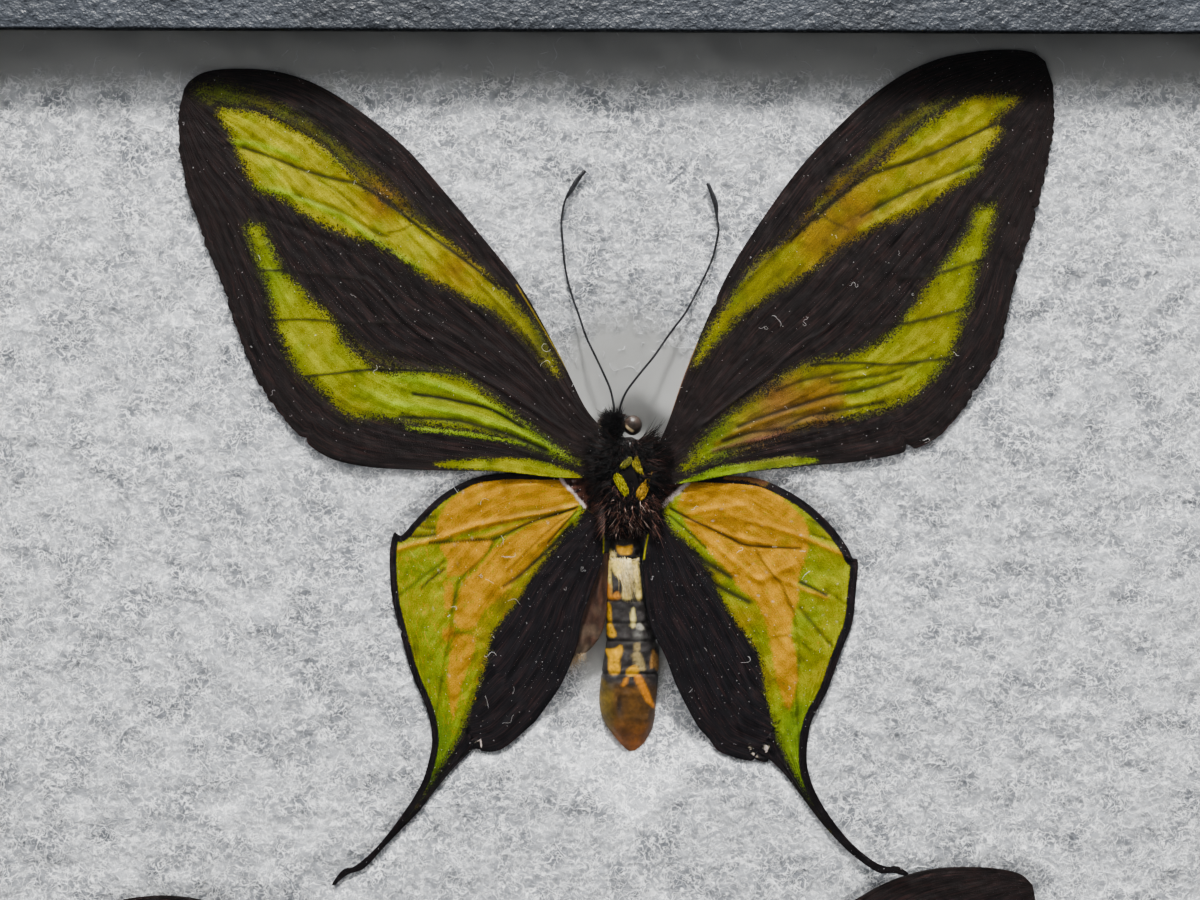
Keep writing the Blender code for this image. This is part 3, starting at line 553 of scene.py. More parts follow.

# Each wing: rows pair a point of the front edge with the point of the rear edge across from it,
# from the root outwards. A patch is an outline, the colour and the share of scales in it, and how
# soft its edge is. Spots tint a round area. Ridges and folds are lines with a width and a height;
# a ridge may carry a colour, which is painted light: the hue its crest shows where it catches the
# lamp. A fold has a dark line painted over the scales, partly a dark vein and partly painted shade
# in a crease. Painted shade also darkens the pleat valleys in the outlines listed under the darker
# key, and pearly white painted highlights lie along the glint lines.
leftForewing = {
    "hinge": (-4.0, 3.5),
    "rows": [
        ((-4.4, 8.0), (-3.7, 0.4)), ((-6.5, 10.8), (-9.8, 0.3)), ((-10.3, 18.5), (-18.3, 1.1)),
        ((-15.4, 27.4), (-28.3, 1.3)), ((-21.2, 34.8), (-37.5, 1.8)), ((-26.0, 40.5), (-43.6, 3.6)),
        ((-31.0, 46.2), (-48.8, 8.4)), ((-35.1, 49.8), (-53.0, 14.5)), ((-40.5, 53.7), (-55.7, 21.3)),
        ((-45.6, 56.4), (-57.9, 28.0)), ((-50.7, 57.8), (-60.5, 34.4)), ((-55.9, 58.1), (-62.8, 40.8)),
        ((-59.9, 57.7), (-63.8, 46.9)), ((-62.2, 56.5), (-64.0, 51.4)), ((-63.2, 55.2), (-63.6, 53.4)),
    ],
    "nicks": [((-56.5, 25.8), 0.7, 0.5), ((-53.4, 15.9), 0.5, 0.4), ((-46.2, 5.4), 0.6, 0.4)],
    "teeth": (0.36, 0.32),
    "patches": [
        ([(-58.2, 52.1), (-55.4, 52.1), (-50.1, 50.7), (-44.0, 47.2), (-39.1, 42.9), (-34.2, 39.3), (-27.3, 34.8),
          (-22.0, 30.5), (-17.9, 26.6), (-13.8, 22.1), (-11.8, 18.9), (-10.2, 15.0), (-12.6, 17.6), (-16.3, 21.6),
          (-20.3, 24.4), (-26.5, 27.6), (-31.8, 30.9), (-35.8, 33.4), (-41.1, 35.2), (-46.0, 37.6), (-49.7, 40.1),
          (-52.5, 41.1), (-54.6, 44.2), (-56.4, 48.6), (-57.6, 50.5)], "yellowGreen", 0.93, 0.75),
        ([(-61.5, 55.6), (-56.6, 55.8), (-48.9, 52.9), (-40.7, 47.4), (-32.6, 40.5), (-26.1, 34.4), (-22.8, 31.1),
          (-27.3, 34.0), (-32.6, 38.0), (-38.3, 42.1), (-44.0, 47.4), (-51.7, 51.9), (-55.4, 52.7), (-61.1, 53.5)],
         "olive", 0.72, 0.9),
        ([(-54.3, 35.2), (-52.5, 30.4), (-51.2, 26.5), (-49.7, 21.3), (-46.9, 15.2), (-43.2, 12.4), (-39.7, 8.9),
          (-34.2, 8.7), (-28.5, 7.7), (-18.3, 6.2), (-8.5, 2.6), (-7.7, 2.9), (-13.0, 6.6), (-18.6, 10.9),
          (-23.6, 14.6), (-29.3, 15.3), (-35.5, 15.6), (-39.7, 18.9), (-42.3, 22.8), (-47.1, 27.4), (-49.7, 30.4),
          (-51.2, 33.8), (-52.2, 35.6)], "green", 0.84, 0.85),
        ([(-46.4, 27.1), (-43.2, 24.1), (-38.0, 20.0), (-30.6, 17.0), (-27.7, 15.6), (-35.5, 15.0), (-41.0, 18.0),
          (-47.0, 25.0)], "olive", 0.42, 1.0),
        ([(-31.2, 7.6), (-23.8, 6.9), (-16.9, 5.8), (-12.3, 4.6), (-16.9, 5.2), (-23.8, 6.2), (-31.0, 7.0)],
         "lime", 0.8, 0.3),
        ([(-27.1, 2.3), (-20.3, 2.9), (-12.3, 2.5), (-6.5, 0.2), (-10.8, 0.2), (-18.6, 1.1), (-26.0, 1.8)],
         "yellowGreen", 0.96, 0.35),
    ],
    "spots": [
        ((-35.0, 39.2), 3.4, "amber", 1.0), ((-24.3, 29.4), 3.6, "amber", 0.85), ((-17.0, 23.5), 4.5, "olive", 0.75),
        ((-12.5, 19.0), 4.0, "olive", 0.9), ((-52.0, 30.0), 4.0, "leaf", 0.35), ((-33.0, 10.5), 4.0, "lime", 0.3),
        ((-43.0, 20.5), 5.0, "yellowGreen", 0.6), ((-12.0, 5.0), 4.0, "leaf", 0.6), ((-57.0, 54.5), 3.0, "leaf", 0.3),
        ((-24.0, 2.2), 3.0, "leaf", 0.4), ((-39.0, 11.0), 3.0, "mustard", 0.5), ((-42.0, 43.5), 3.0, "mustard", 0.4),
    ],
    "ridges": [
        ([(-57.5, 47.6), (-53.5, 47.4), (-50.6, 46.7), (-47.0, 45.2)], 0.45, 0.09, "lime"),
        ([(-54.0, 41.4), (-48.5, 40.3), (-44.3, 38.6), (-40.2, 36.7), (-36.0, 33.6), (-30.0, 29.9)], 0.55, 0.12, "lime"),
        ([(-33.5, 14.4), (-29.9, 14.0), (-26.0, 12.9), (-22.1, 11.6), (-18.6, 9.9), (-14.5, 7.4)], 0.55, 0.12, "lime"),
        ([(-33.5, 10.6), (-28.2, 9.9), (-23.8, 9.2), (-20.3, 8.2), (-14.0, 6.0), (-8.6, 2.7)], 0.5, 0.12, "lime"),
        ([(-37.5, 28.4), (-34.9, 26.1), (-32.1, 22.8), (-24.5, 16.7), (-17.3, 12.3), (-9.0, 7.0)], 0.32, 0.12, None),
        ([(-31.8, 13.0), (-31.2, 13.6)], 0.5, 0.16, None),
        ([(-51.5, 33.0), (-50.2, 26.0), (-47.0, 18.0), (-42.0, 13.5)], 0.8, 0.08, None),
        ([(-9.0, 12.0), (-16.0, 22.3), (-27.5, 33.9), (-35.4, 39.9), (-45.0, 47.5)], 0.4, 0.1, None),
    ],
    "folds": [
        ([(-54.8, 46.9), (-50.6, 45.5), (-46.4, 43.8), (-42.3, 42.6), (-37.9, 41.5), (-32.5, 38.0)], 0.3, 0.1, 0.75),
        ([(-47.5, 40.3), (-44.3, 39.2), (-40.6, 37.8), (-36.0, 34.9), (-34.3, 34.4)], 0.28, 0.1, 0.5),
        ([(-45.4, 43.0), (-41.6, 40.9), (-39.1, 38.8)], 0.22, 0.06, 0.45),
        ([(-35.4, 39.8), (-32.5, 37.8), (-27.3, 33.9), (-21.9, 30.0), (-18.4, 27.0)], 0.26, 0.05, 0.85),
        ([(-34.1, 35.0), (-32.1, 35.4), (-30.4, 36.5)], 0.2, 0.04, 0.6),
        ([(-30.6, 12.1), (-26.9, 11.6), (-23.8, 11.0), (-19.5, 9.9), (-15.0, 7.4)], 0.3, 0.1, 0.85),
        ([(-32.5, 8.8), (-27.1, 8.6), (-23.4, 8.2), (-19.5, 7.1), (-16.0, 6.0), (-11.9, 4.2)], 0.32, 0.1, 0.8),
        ([(-52.3, 29.5), (-48.8, 29.5), (-45.4, 29.1), (-41.4, 28.7), (-37.7, 28.3)], 0.2, -0.05, 0.8),
        ([(-50.8, 22.4), (-45.8, 22.6), (-40.6, 22.2), (-34.9, 22.1), (-32.1, 22.2)], 0.2, -0.05, 0.8),
        ([(-45.8, 14.5), (-41.4, 15.0), (-37.1, 15.5), (-32.7, 15.5), (-28.4, 15.4), (-24.1, 15.0)], 0.2, -0.05, 0.85),
        ([(-27.5, 39.3), (-24.1, 35.6), (-21.4, 32.4), (-18.8, 29.3), (-17.3, 27.8)], 0.2, 0.03, 0.5),
        ([(-52.9, 38.0), (-46.0, 35.0), (-38.0, 31.5), (-31.0, 26.0)], 0.35, 0.07, 0.3),
    ],
    "edgeLine": ([(-16.0, 27.6), (-14.5, 25.2), (-12.3, 21.6), (-10.4, 18.4), (-8.6, 15.3), (-7.1, 12.5),
                  (-5.5, 9.9)], 0.11, "mustard"),
}

rightForewing = {
    "hinge": (4.0, 2.0),
    "rows": [
        ((3.9, 4.6), (3.7, -0.8)), ((5.5, 8.1), (8.7, -0.3)), ((7.8, 14.9), (15.8, 1.0)), ((10.9, 22.6), (24.3, 2.0)),
        ((14.2, 29.8), (32.8, 2.8)), ((18.6, 36.8), (39.8, 4.3)), ((23.7, 43.9), (44.4, 6.8)),
        ((28.4, 49.1), (48.7, 12.2)), ((33.7, 54.1), (52.3, 18.5)), ((38.8, 57.7), (54.4, 27.0)),
        ((43.9, 59.9), (56.1, 32.9)), ((49.1, 60.9), (57.9, 39.2)), ((53.4, 61.2), (59.4, 46.2)),
        ((56.9, 60.8), (60.1, 51.4)), ((58.8, 59.5), (59.9, 56.2)),
    ],
    "nicks": [((54.9, 29.8), 1.0, 0.35), ((39.8, 4.3), 1.1, 0.45), ((11.9, 25.4), 0.35, 0.5), ((57.6, 38.4), 0.6, 0.3),
              ((48.9, 12.6), 0.5, 0.4)],
    "teeth": (0.36, 0.3),
    "patches": [
        ([(54.9, 54.2), (52.5, 54.5), (48.7, 54.3), (45.5, 52.8), (40.4, 49.6), (35.8, 45.2), (31.6, 41.8),
          (27.5, 38.5), (23.3, 34.7), (18.3, 31.0), (14.6, 26.4), (11.6, 21.8), (9.3, 16.4), (12.9, 20.4),
          (18.7, 25.6), (25.4, 29.6), (30.4, 33.5), (36.2, 36.6), (41.6, 38.9), (46.6, 42.2), (49.3, 44.1),
          (50.2, 46.6), (51.5, 48.1), (52.7, 49.8), (51.5, 50.7), (53.4, 53.0)], "yellowGreen", 0.9, 0.8),
        ([(46.6, 54.4), (42.9, 54.0), (39.5, 52.3), (36.2, 50.0), (32.8, 46.4), (29.5, 43.6), (25.4, 38.6),
          (20.4, 33.1), (23.7, 36.0), (27.6, 38.6), (31.6, 42.0), (36.2, 46.6), (41.0, 50.6), (45.0, 53.2)],
         "olive", 0.7, 0.8),
        ([(49.3, 38.5), (51.3, 38.9), (51.8, 38.1), (50.4, 33.1), (48.7, 28.5), (47.9, 24.7), (46.6, 21.0),
          (45.0, 16.8), (42.0, 13.9), (39.1, 11.4), (33.3, 9.5), (28.7, 8.6), (22.1, 6.6), (15.4, 4.2),
          (10.4, 2.4), (7.5, 1.4), (9.6, 4.7), (14.1, 9.3), (19.6, 12.9), (23.3, 15.8), (27.9, 17.1), (33.0, 18.4),
          (37.5, 21.2), (40.4, 25.2), (43.7, 29.7), (45.8, 32.2), (48.3, 35.6)], "green", 0.86, 0.9),
        ([(26.8, 2.9), (23.7, 3.4), (19.6, 3.0), (15.4, 2.2), (12.5, 1.8), (9.6, 0.6), (7.1, -0.5), (12.1, 0.3),
          (18.2, 1.4), (24.7, 2.3)], "lime", 0.96, 0.3),
    ],
    "spots": [
        ((51.8, 52.8), 2.6, "mustard", 0.8), ((31.5, 37.5), 5.5, "amber", 1.0), ((26.0, 33.5), 5.5, "amber", 0.8),
        ((38.0, 43.0), 5.5, "mustard", 0.7), ((20.0, 29.0), 4.0, "olive", 0.6),
        ((21.0, 11.5), 4.2, "brown", 1.0), ((25.5, 11.0), 4.2, "amber", 1.0), ((28.0, 12.5), 3.0, "amber", 0.9),
        ((17.0, 8.6), 3.6, "mustard", 0.8), ((13.0, 6.0), 3.0, "leaf", 0.6), ((22.0, 6.4), 3.6, "copper", 0.9),
        ((27.5, 7.2), 2.6, "copper", 0.8), ((18.0, 5.0), 3.0, "copper", 0.7), ((42.0, 23.0), 5.0, "mustard", 0.45),
        ((36.5, 14.0), 5.0, "yellowGreen", 0.5), ((15.0, 25.0), 4.0, "olive", 0.7), ((46.0, 47.0), 4.0, "mustard", 0.3),
    ],
    "ridges": [
        ([(32.8, 35.6), (36.4, 37.4), (40.0, 39.5), (43.7, 41.9), (46.6, 43.3), (49.1, 44.2)], 0.55, 0.12, "yellowGreen"),
        ([(12.5, 5.2), (16.5, 7.3), (19.3, 8.3), (22.5, 9.5), (25.8, 10.2), (30.2, 11.2)], 0.5, 0.14, "amber"),
        ([(22.3, 7.5), (24.7, 8.2), (26.9, 8.5), (29.5, 8.6)], 0.35, 0.09, "amber"),
        ([(12.0, 4.2), (16.0, 5.3), (19.3, 6.0), (22.5, 6.5)], 0.35, 0.08, "rose"),
        ([(10.4, 7.9), (14.3, 10.8), (19.1, 14.5), (24.7, 19.5), (28.0, 21.6), (31.5, 25.0)], 0.32, 0.12, None),
        ([(35.0, 44.0), (40.0, 46.2), (45.0, 49.0), (50.0, 52.4)], 0.5, 0.09, "yellowGreen"),
        ([(9.5, 15.5), (14.8, 26.0), (22.5, 34.2), (29.8, 40.6), (38.5, 48.5)], 0.4, 0.1, None),
        ([(31.0, 14.2), (36.0, 16.0), (42.0, 19.6)], 0.5, 0.1, "yellowGreen"),
        ([(31.0, 11.0), (36.0, 11.6), (41.0, 14.2)], 0.5, 0.08, "yellowGreen"),
    ],
    "folds": [
        ([(22.9, 34.1), (25.0, 36.2), (29.8, 40.3), (34.2, 43.4), (40.0, 45.3), (44.4, 47.1), (51.6, 50.6)], 0.3, 0.08, 0.8),
        ([(32.8, 37.5), (36.4, 39.5), (40.0, 41.3), (45.5, 43.5), (48.0, 44.6)], 0.28, 0.1, 0.7),
        ([(27.4, 37.5), (28.9, 36.6), (30.9, 35.7)], 0.2, 0.05, 0.6),
        ([(25.8, 16.5), (29.1, 16.7), (33.4, 16.7), (37.1, 16.5), (45.0, 17.4)], 0.22, -0.05, 0.85),
        ([(28.6, 13.8), (32.3, 14.5), (37.1, 15.3), (43.0, 17.6)], 0.24, 0.08, 0.65),
        ([(20.8, 12.7), (22.5, 13.4), (24.7, 14.2), (28.0, 14.9), (34.5, 16.2)], 0.24, 0.06, 0.6),
        ([(15.5, 7.6), (19.5, 9.2), (24.7, 10.9), (29.1, 12.2), (33.4, 12.9), (38.5, 14.6)], 0.28, 0.09, 0.75),
        ([(13.4, 5.6), (17.4, 6.8), (21.5, 7.4), (25.5, 9.2), (29.5, 9.9), (36.0, 11.2)], 0.28, 0.08, 0.7),
        ([(14.0, 4.3), (19.0, 5.4), (24.0, 7.0), (29.0, 7.6)], 0.22, 0.06, 0.6),
        ([(38.0, 28.6), (43.0, 29.2), (50.5, 31.6)], 0.22, -0.05, 0.8),
        ([(33.0, 21.8), (40.0, 22.5), (48.0, 24.6)], 0.22, -0.05, 0.8),
        ([(36.0, 39.4), (33.5, 38.6), (29.0, 35.4)], 0.3, 0.05, 0.3),
    ],
    "edgeLine": ([(4.2, 5.6), (5.9, 9.5), (7.9, 15.2), (9.6, 19.5)], 0.16, "copper"),
    "tone": 0.88,
}

leftHindwing = {
    "hinge": (-4.6, -3.4),
    "rows": [
        ((-3.8, 0.7), (-3.6, -5.1)), ((-7.4, 0.9), (-3.4, -9.2)), ((-11.9, 0.9), (-3.8, -11.8)),
        ((-17.9, 0.9), (-5.4, -16.2)), ((-22.6, 0.0), (-6.7, -20.2)), ((-26.8, -2.4), (-7.4, -24.1)),
        ((-30.0, -5.5), (-9.5, -29.1)), ((-32.2, -7.9), (-12.6, -33.6)), ((-33.3, -7.6), (-13.9, -35.0)),
        ((-33.9, -10.4), (-17.8, -38.2)), ((-33.8, -14.2), (-20.6, -38.6)), ((-33.4, -17.6), (-21.4, -37.8)),
        ((-32.5, -21.3), (-22.3, -38.6)), ((-30.8, -27.3), (-23.7, -40.0)), ((-28.5, -32.9), (-25.0, -41.3)),
        ((-27.8, -36.9), (-26.4, -43.0)), ((-28.4, -40.5), (-28.0, -45.0)), ((-29.5, -43.6), (-29.5, -47.0)),
        ((-32.0, -47.6), (-31.8, -49.4)), ((-35.4, -52.0), (-34.4, -52.1)), ((-38.5, -54.8), (-37.3, -55.2)),
        ((-40.3, -55.4), (-39.6, -56.1)), ((-41.6, -56.9), (-40.9, -57.1)), ((-42.0, -57.7), (-41.5, -57.7)),
    ],
    "nicks": [((-32.5, -21.5), 0.6, 0.3), ((-21.4, -37.7), 1.4, 0.4), ((-33.1, -43.5), 0.0, 1.0)],
    "teeth": (2.0, 0.1),
    "margin": (0.95, 0.25),
    "inner": [(-6.5, -4.3), (-8.9, -7.3), (-11.2, -10.4), (-13.6, -13.7), (-16.0, -17.5), (-19.3, -21.8),
              (-19.7, -23.7), (-20.7, -27.5), (-21.9, -30.8), (-23.1, -34.6), (-24.9, -38.3), (-27.3, -42.1),
              (-29.7, -45.4), (-31.6, -48.0), (-36.0, -50.5), (-45.0, -45.0), (-45.0, 8.0), (-8.5, 8.0)],
    "ground": "green",
    "patches": [
        ([(-8.6, 2.0), (-13.6, 2.0), (-18.3, 1.5), (-21.6, -0.4), (-24.0, -1.9), (-25.7, -3.3), (-26.6, -4.7),
          (-27.2, -6.2), (-27.3, -8.0), (-26.4, -8.6), (-21.6, -7.3), (-15.5, -5.8), (-7.0, -3.5), (-6.2, -2.6)],
         "gold", 1.0, 0.2),
        ([(-20.0, -8.5), (-26.6, -9.2), (-25.7, -11.4), (-25.7, -13.7), (-23.5, -13.5), (-21.2, -11.8), (-19.3, -8.8)],
         "gold", 1.0, 0.2),
        ([(-7.2, -3.9), (-10.7, -5.2), (-15.5, -7.3), (-18.8, -9.5), (-21.2, -12.3), (-23.5, -14.7), (-24.4, -17.5),
          (-24.7, -20.4), (-23.1, -21.4), (-21.6, -20.8), (-20.7, -18.9), (-18.3, -17.0), (-16.4, -14.7),
          (-13.6, -11.8), (-10.7, -8.5), (-8.4, -5.6)], "gold", 1.0, 0.3),
        ([(-24.6, -20.8), (-26.4, -21.4), (-26.2, -22.9), (-25.0, -22.4)], "gold", 0.9, 0.25),
        ([(-25.9, -14.6), (-24.9, -15.0), (-25.1, -18.2), (-26.2, -18.0)], "gold", 0.8, 0.25),
        ([(-21.9, -22.2), (-24.5, -22.0), (-25.2, -24.6), (-25.7, -27.5), (-25.5, -30.3), (-24.9, -34.2),
          (-24.3, -32.2), (-23.5, -28.9), (-22.3, -25.6), (-21.7, -23.0)], "gold", 1.0, 0.3),
    ],
    "spots": [
        ((-17.5, -16.5), 3.2, "mustard", 0.9), ((-13.0, -11.5), 2.6, "mustard", 0.8), ((-20.5, -21.5), 2.4, "mustard", 0.8),
        ((-21.0, -26.0), 2.0, "mustard", 0.6), ((-29.0, -17.0), 5.0, "yellowGreen", 0.35), ((-28.5, -36.0), 5.0, "leaf", 0.9),
        ((-29.0, -42.0), 5.0, "leaf", 0.9), ((-27.0, -26.5), 4.0, "leaf", 0.4), ((-8.0, -4.6), 1.6, "lime", 0.8),
        ((-29.5, -7.0), 2.5, "mustard", 0.4),
    ],
    "paintedShade": [
        ([(-8.8, -3.9), (-12.9, -3.8), (-16.0, -4.1), (-17.7, -4.9), (-19.4, -5.8), (-16.2, -5.3), (-12.9, -4.9),
          (-10.7, -4.4)], 0.62),
        ([(-26.0, -8.4), (-23.3, -7.3), (-20.7, -6.6), (-17.3, -5.8), (-15.1, -5.3), (-12.9, -5.1), (-15.5, -6.0),
          (-18.6, -6.9), (-21.6, -7.7), (-24.2, -8.4)], 0.7),
    ],
    "ridges": [
        ([(-32.7, -10.0), (-30.3, -9.2), (-27.0, -8.4), (-22.5, -6.8), (-19.4, -6.1), (-16.2, -5.4), (-12.9, -4.9),
          (-7.5, -3.8)], 0.35, 0.24, "paleGold"),
        ([(-8.0, -1.6), (-14.0, -1.0), (-20.0, -2.6), (-25.0, -5.0)], 0.9, 0.16, None),
        ([(-8.2, -5.2), (-13.0, -9.0), (-18.0, -13.6), (-22.6, -18.6)], 0.8, 0.16, None),
        ([(-32.0, -16.0), (-29.4, -14.2), (-27.0, -12.1)], 0.3, 0.09, "lime"),
        ([(-24.5, -9.0), (-20.0, -7.9), (-15.5, -6.5), (-11.0, -5.0)], 0.35, 0.08, "gold"),
    ],
    "folds": [
        ([(-28.3, -9.0), (-26.0, -8.9), (-21.6, -8.6), (-19.4, -8.5), (-18.1, -8.1), (-13.8, -6.0), (-8.6, -4.4),
          (-7.3, -3.8)], 0.2, 0.08, 0.85),
        ([(-19.2, -8.8), (-19.7, -9.9), (-21.0, -11.4), (-23.8, -14.0), (-24.4, -15.8), (-25.1, -18.8)], 0.22, -0.06, 0.55),
        ([(-27.5, -5.3), (-29.0, -5.5), (-30.4, -5.9)], 0.18, 0.05, 0.8),
        ([(-27.5, -6.9), (-29.0, -6.8), (-30.5, -6.2)], 0.18, 0.05, 0.8),
        ([(-27.5, -7.9), (-29.6, -8.1), (-31.8, -8.1)], 0.2, 0.06, 0.9),
        ([(-26.2, -11.6), (-28.6, -13.4), (-30.3, -14.7), (-32.4, -16.4)], 0.22, 0.08, 0.65),
        ([(-26.1, -12.7), (-28.1, -14.2), (-29.4, -15.5)], 0.2, 0.05, 0.8),
        ([(-8.6, -5.1), (-10.1, -6.2), (-12.3, -8.1), (-16.0, -11.8), (-17.3, -13.1)], 0.16, 0.07, 0.45),
        ([(-17.7, -15.1), (-15.7, -13.8), (-13.8, -12.1), (-11.2, -9.7), (-8.0, -6.4)], 0.3, 0.08, 0.85),
        ([(-7.4, -4.5), (-9.4, -6.6), (-11.4, -8.9)], 0.16, 0.05, 0.8),
        ([(-20.2, -22.8), (-24.0, -21.7), (-28.0, -22.6)], 0.18, -0.05, 0.3),
        ([(-24.6, -15.6), (-25.0, -20.0), (-26.3, -27.0), (-27.3, -34.0)], 0.2, -0.06, 0.35),
        ([(-20.3, -24.0), (-22.0, -29.5), (-24.5, -36.5), (-28.5, -43.5)], 0.2, -0.06, 0.25),
    ],
    "glintLines": [([(-9.7, 0.1), (-8.7, -1.0), (-7.4, -2.4), (-6.2, -3.9)], 0.24), ([(-20.8, -38.0), (-20.9, -36.9)], 0.13)],
    "edgeLine": ([(-3.7, -7.0), (-3.5, -8.6), (-3.5, -10.4)], 0.17, "yellowGreen"),
    "veins": [[(-4.6, -6.0), (-7.2, -13.0), (-10.8, -21.0), (-14.8, -30.5), (-17.6, -36.6)],
              [(-4.8, -5.6), (-9.6, -12.8), (-14.0, -20.5), (-17.2, -28.0), (-19.8, -35.6)],
              [(-4.3, -7.0), (-5.6, -13.6), (-8.0, -21.4), (-11.4, -30.4)]],
    "membrane": [(-9.6, 1.4), (-4.6, 1.5), (-3.2, -5.6), (-5.8, -4.4), (-6.4, -3.7), (-7.5, -2.3), (-8.8, -0.9), (-9.7, 0.3)],
    "tone": 0.92,
}

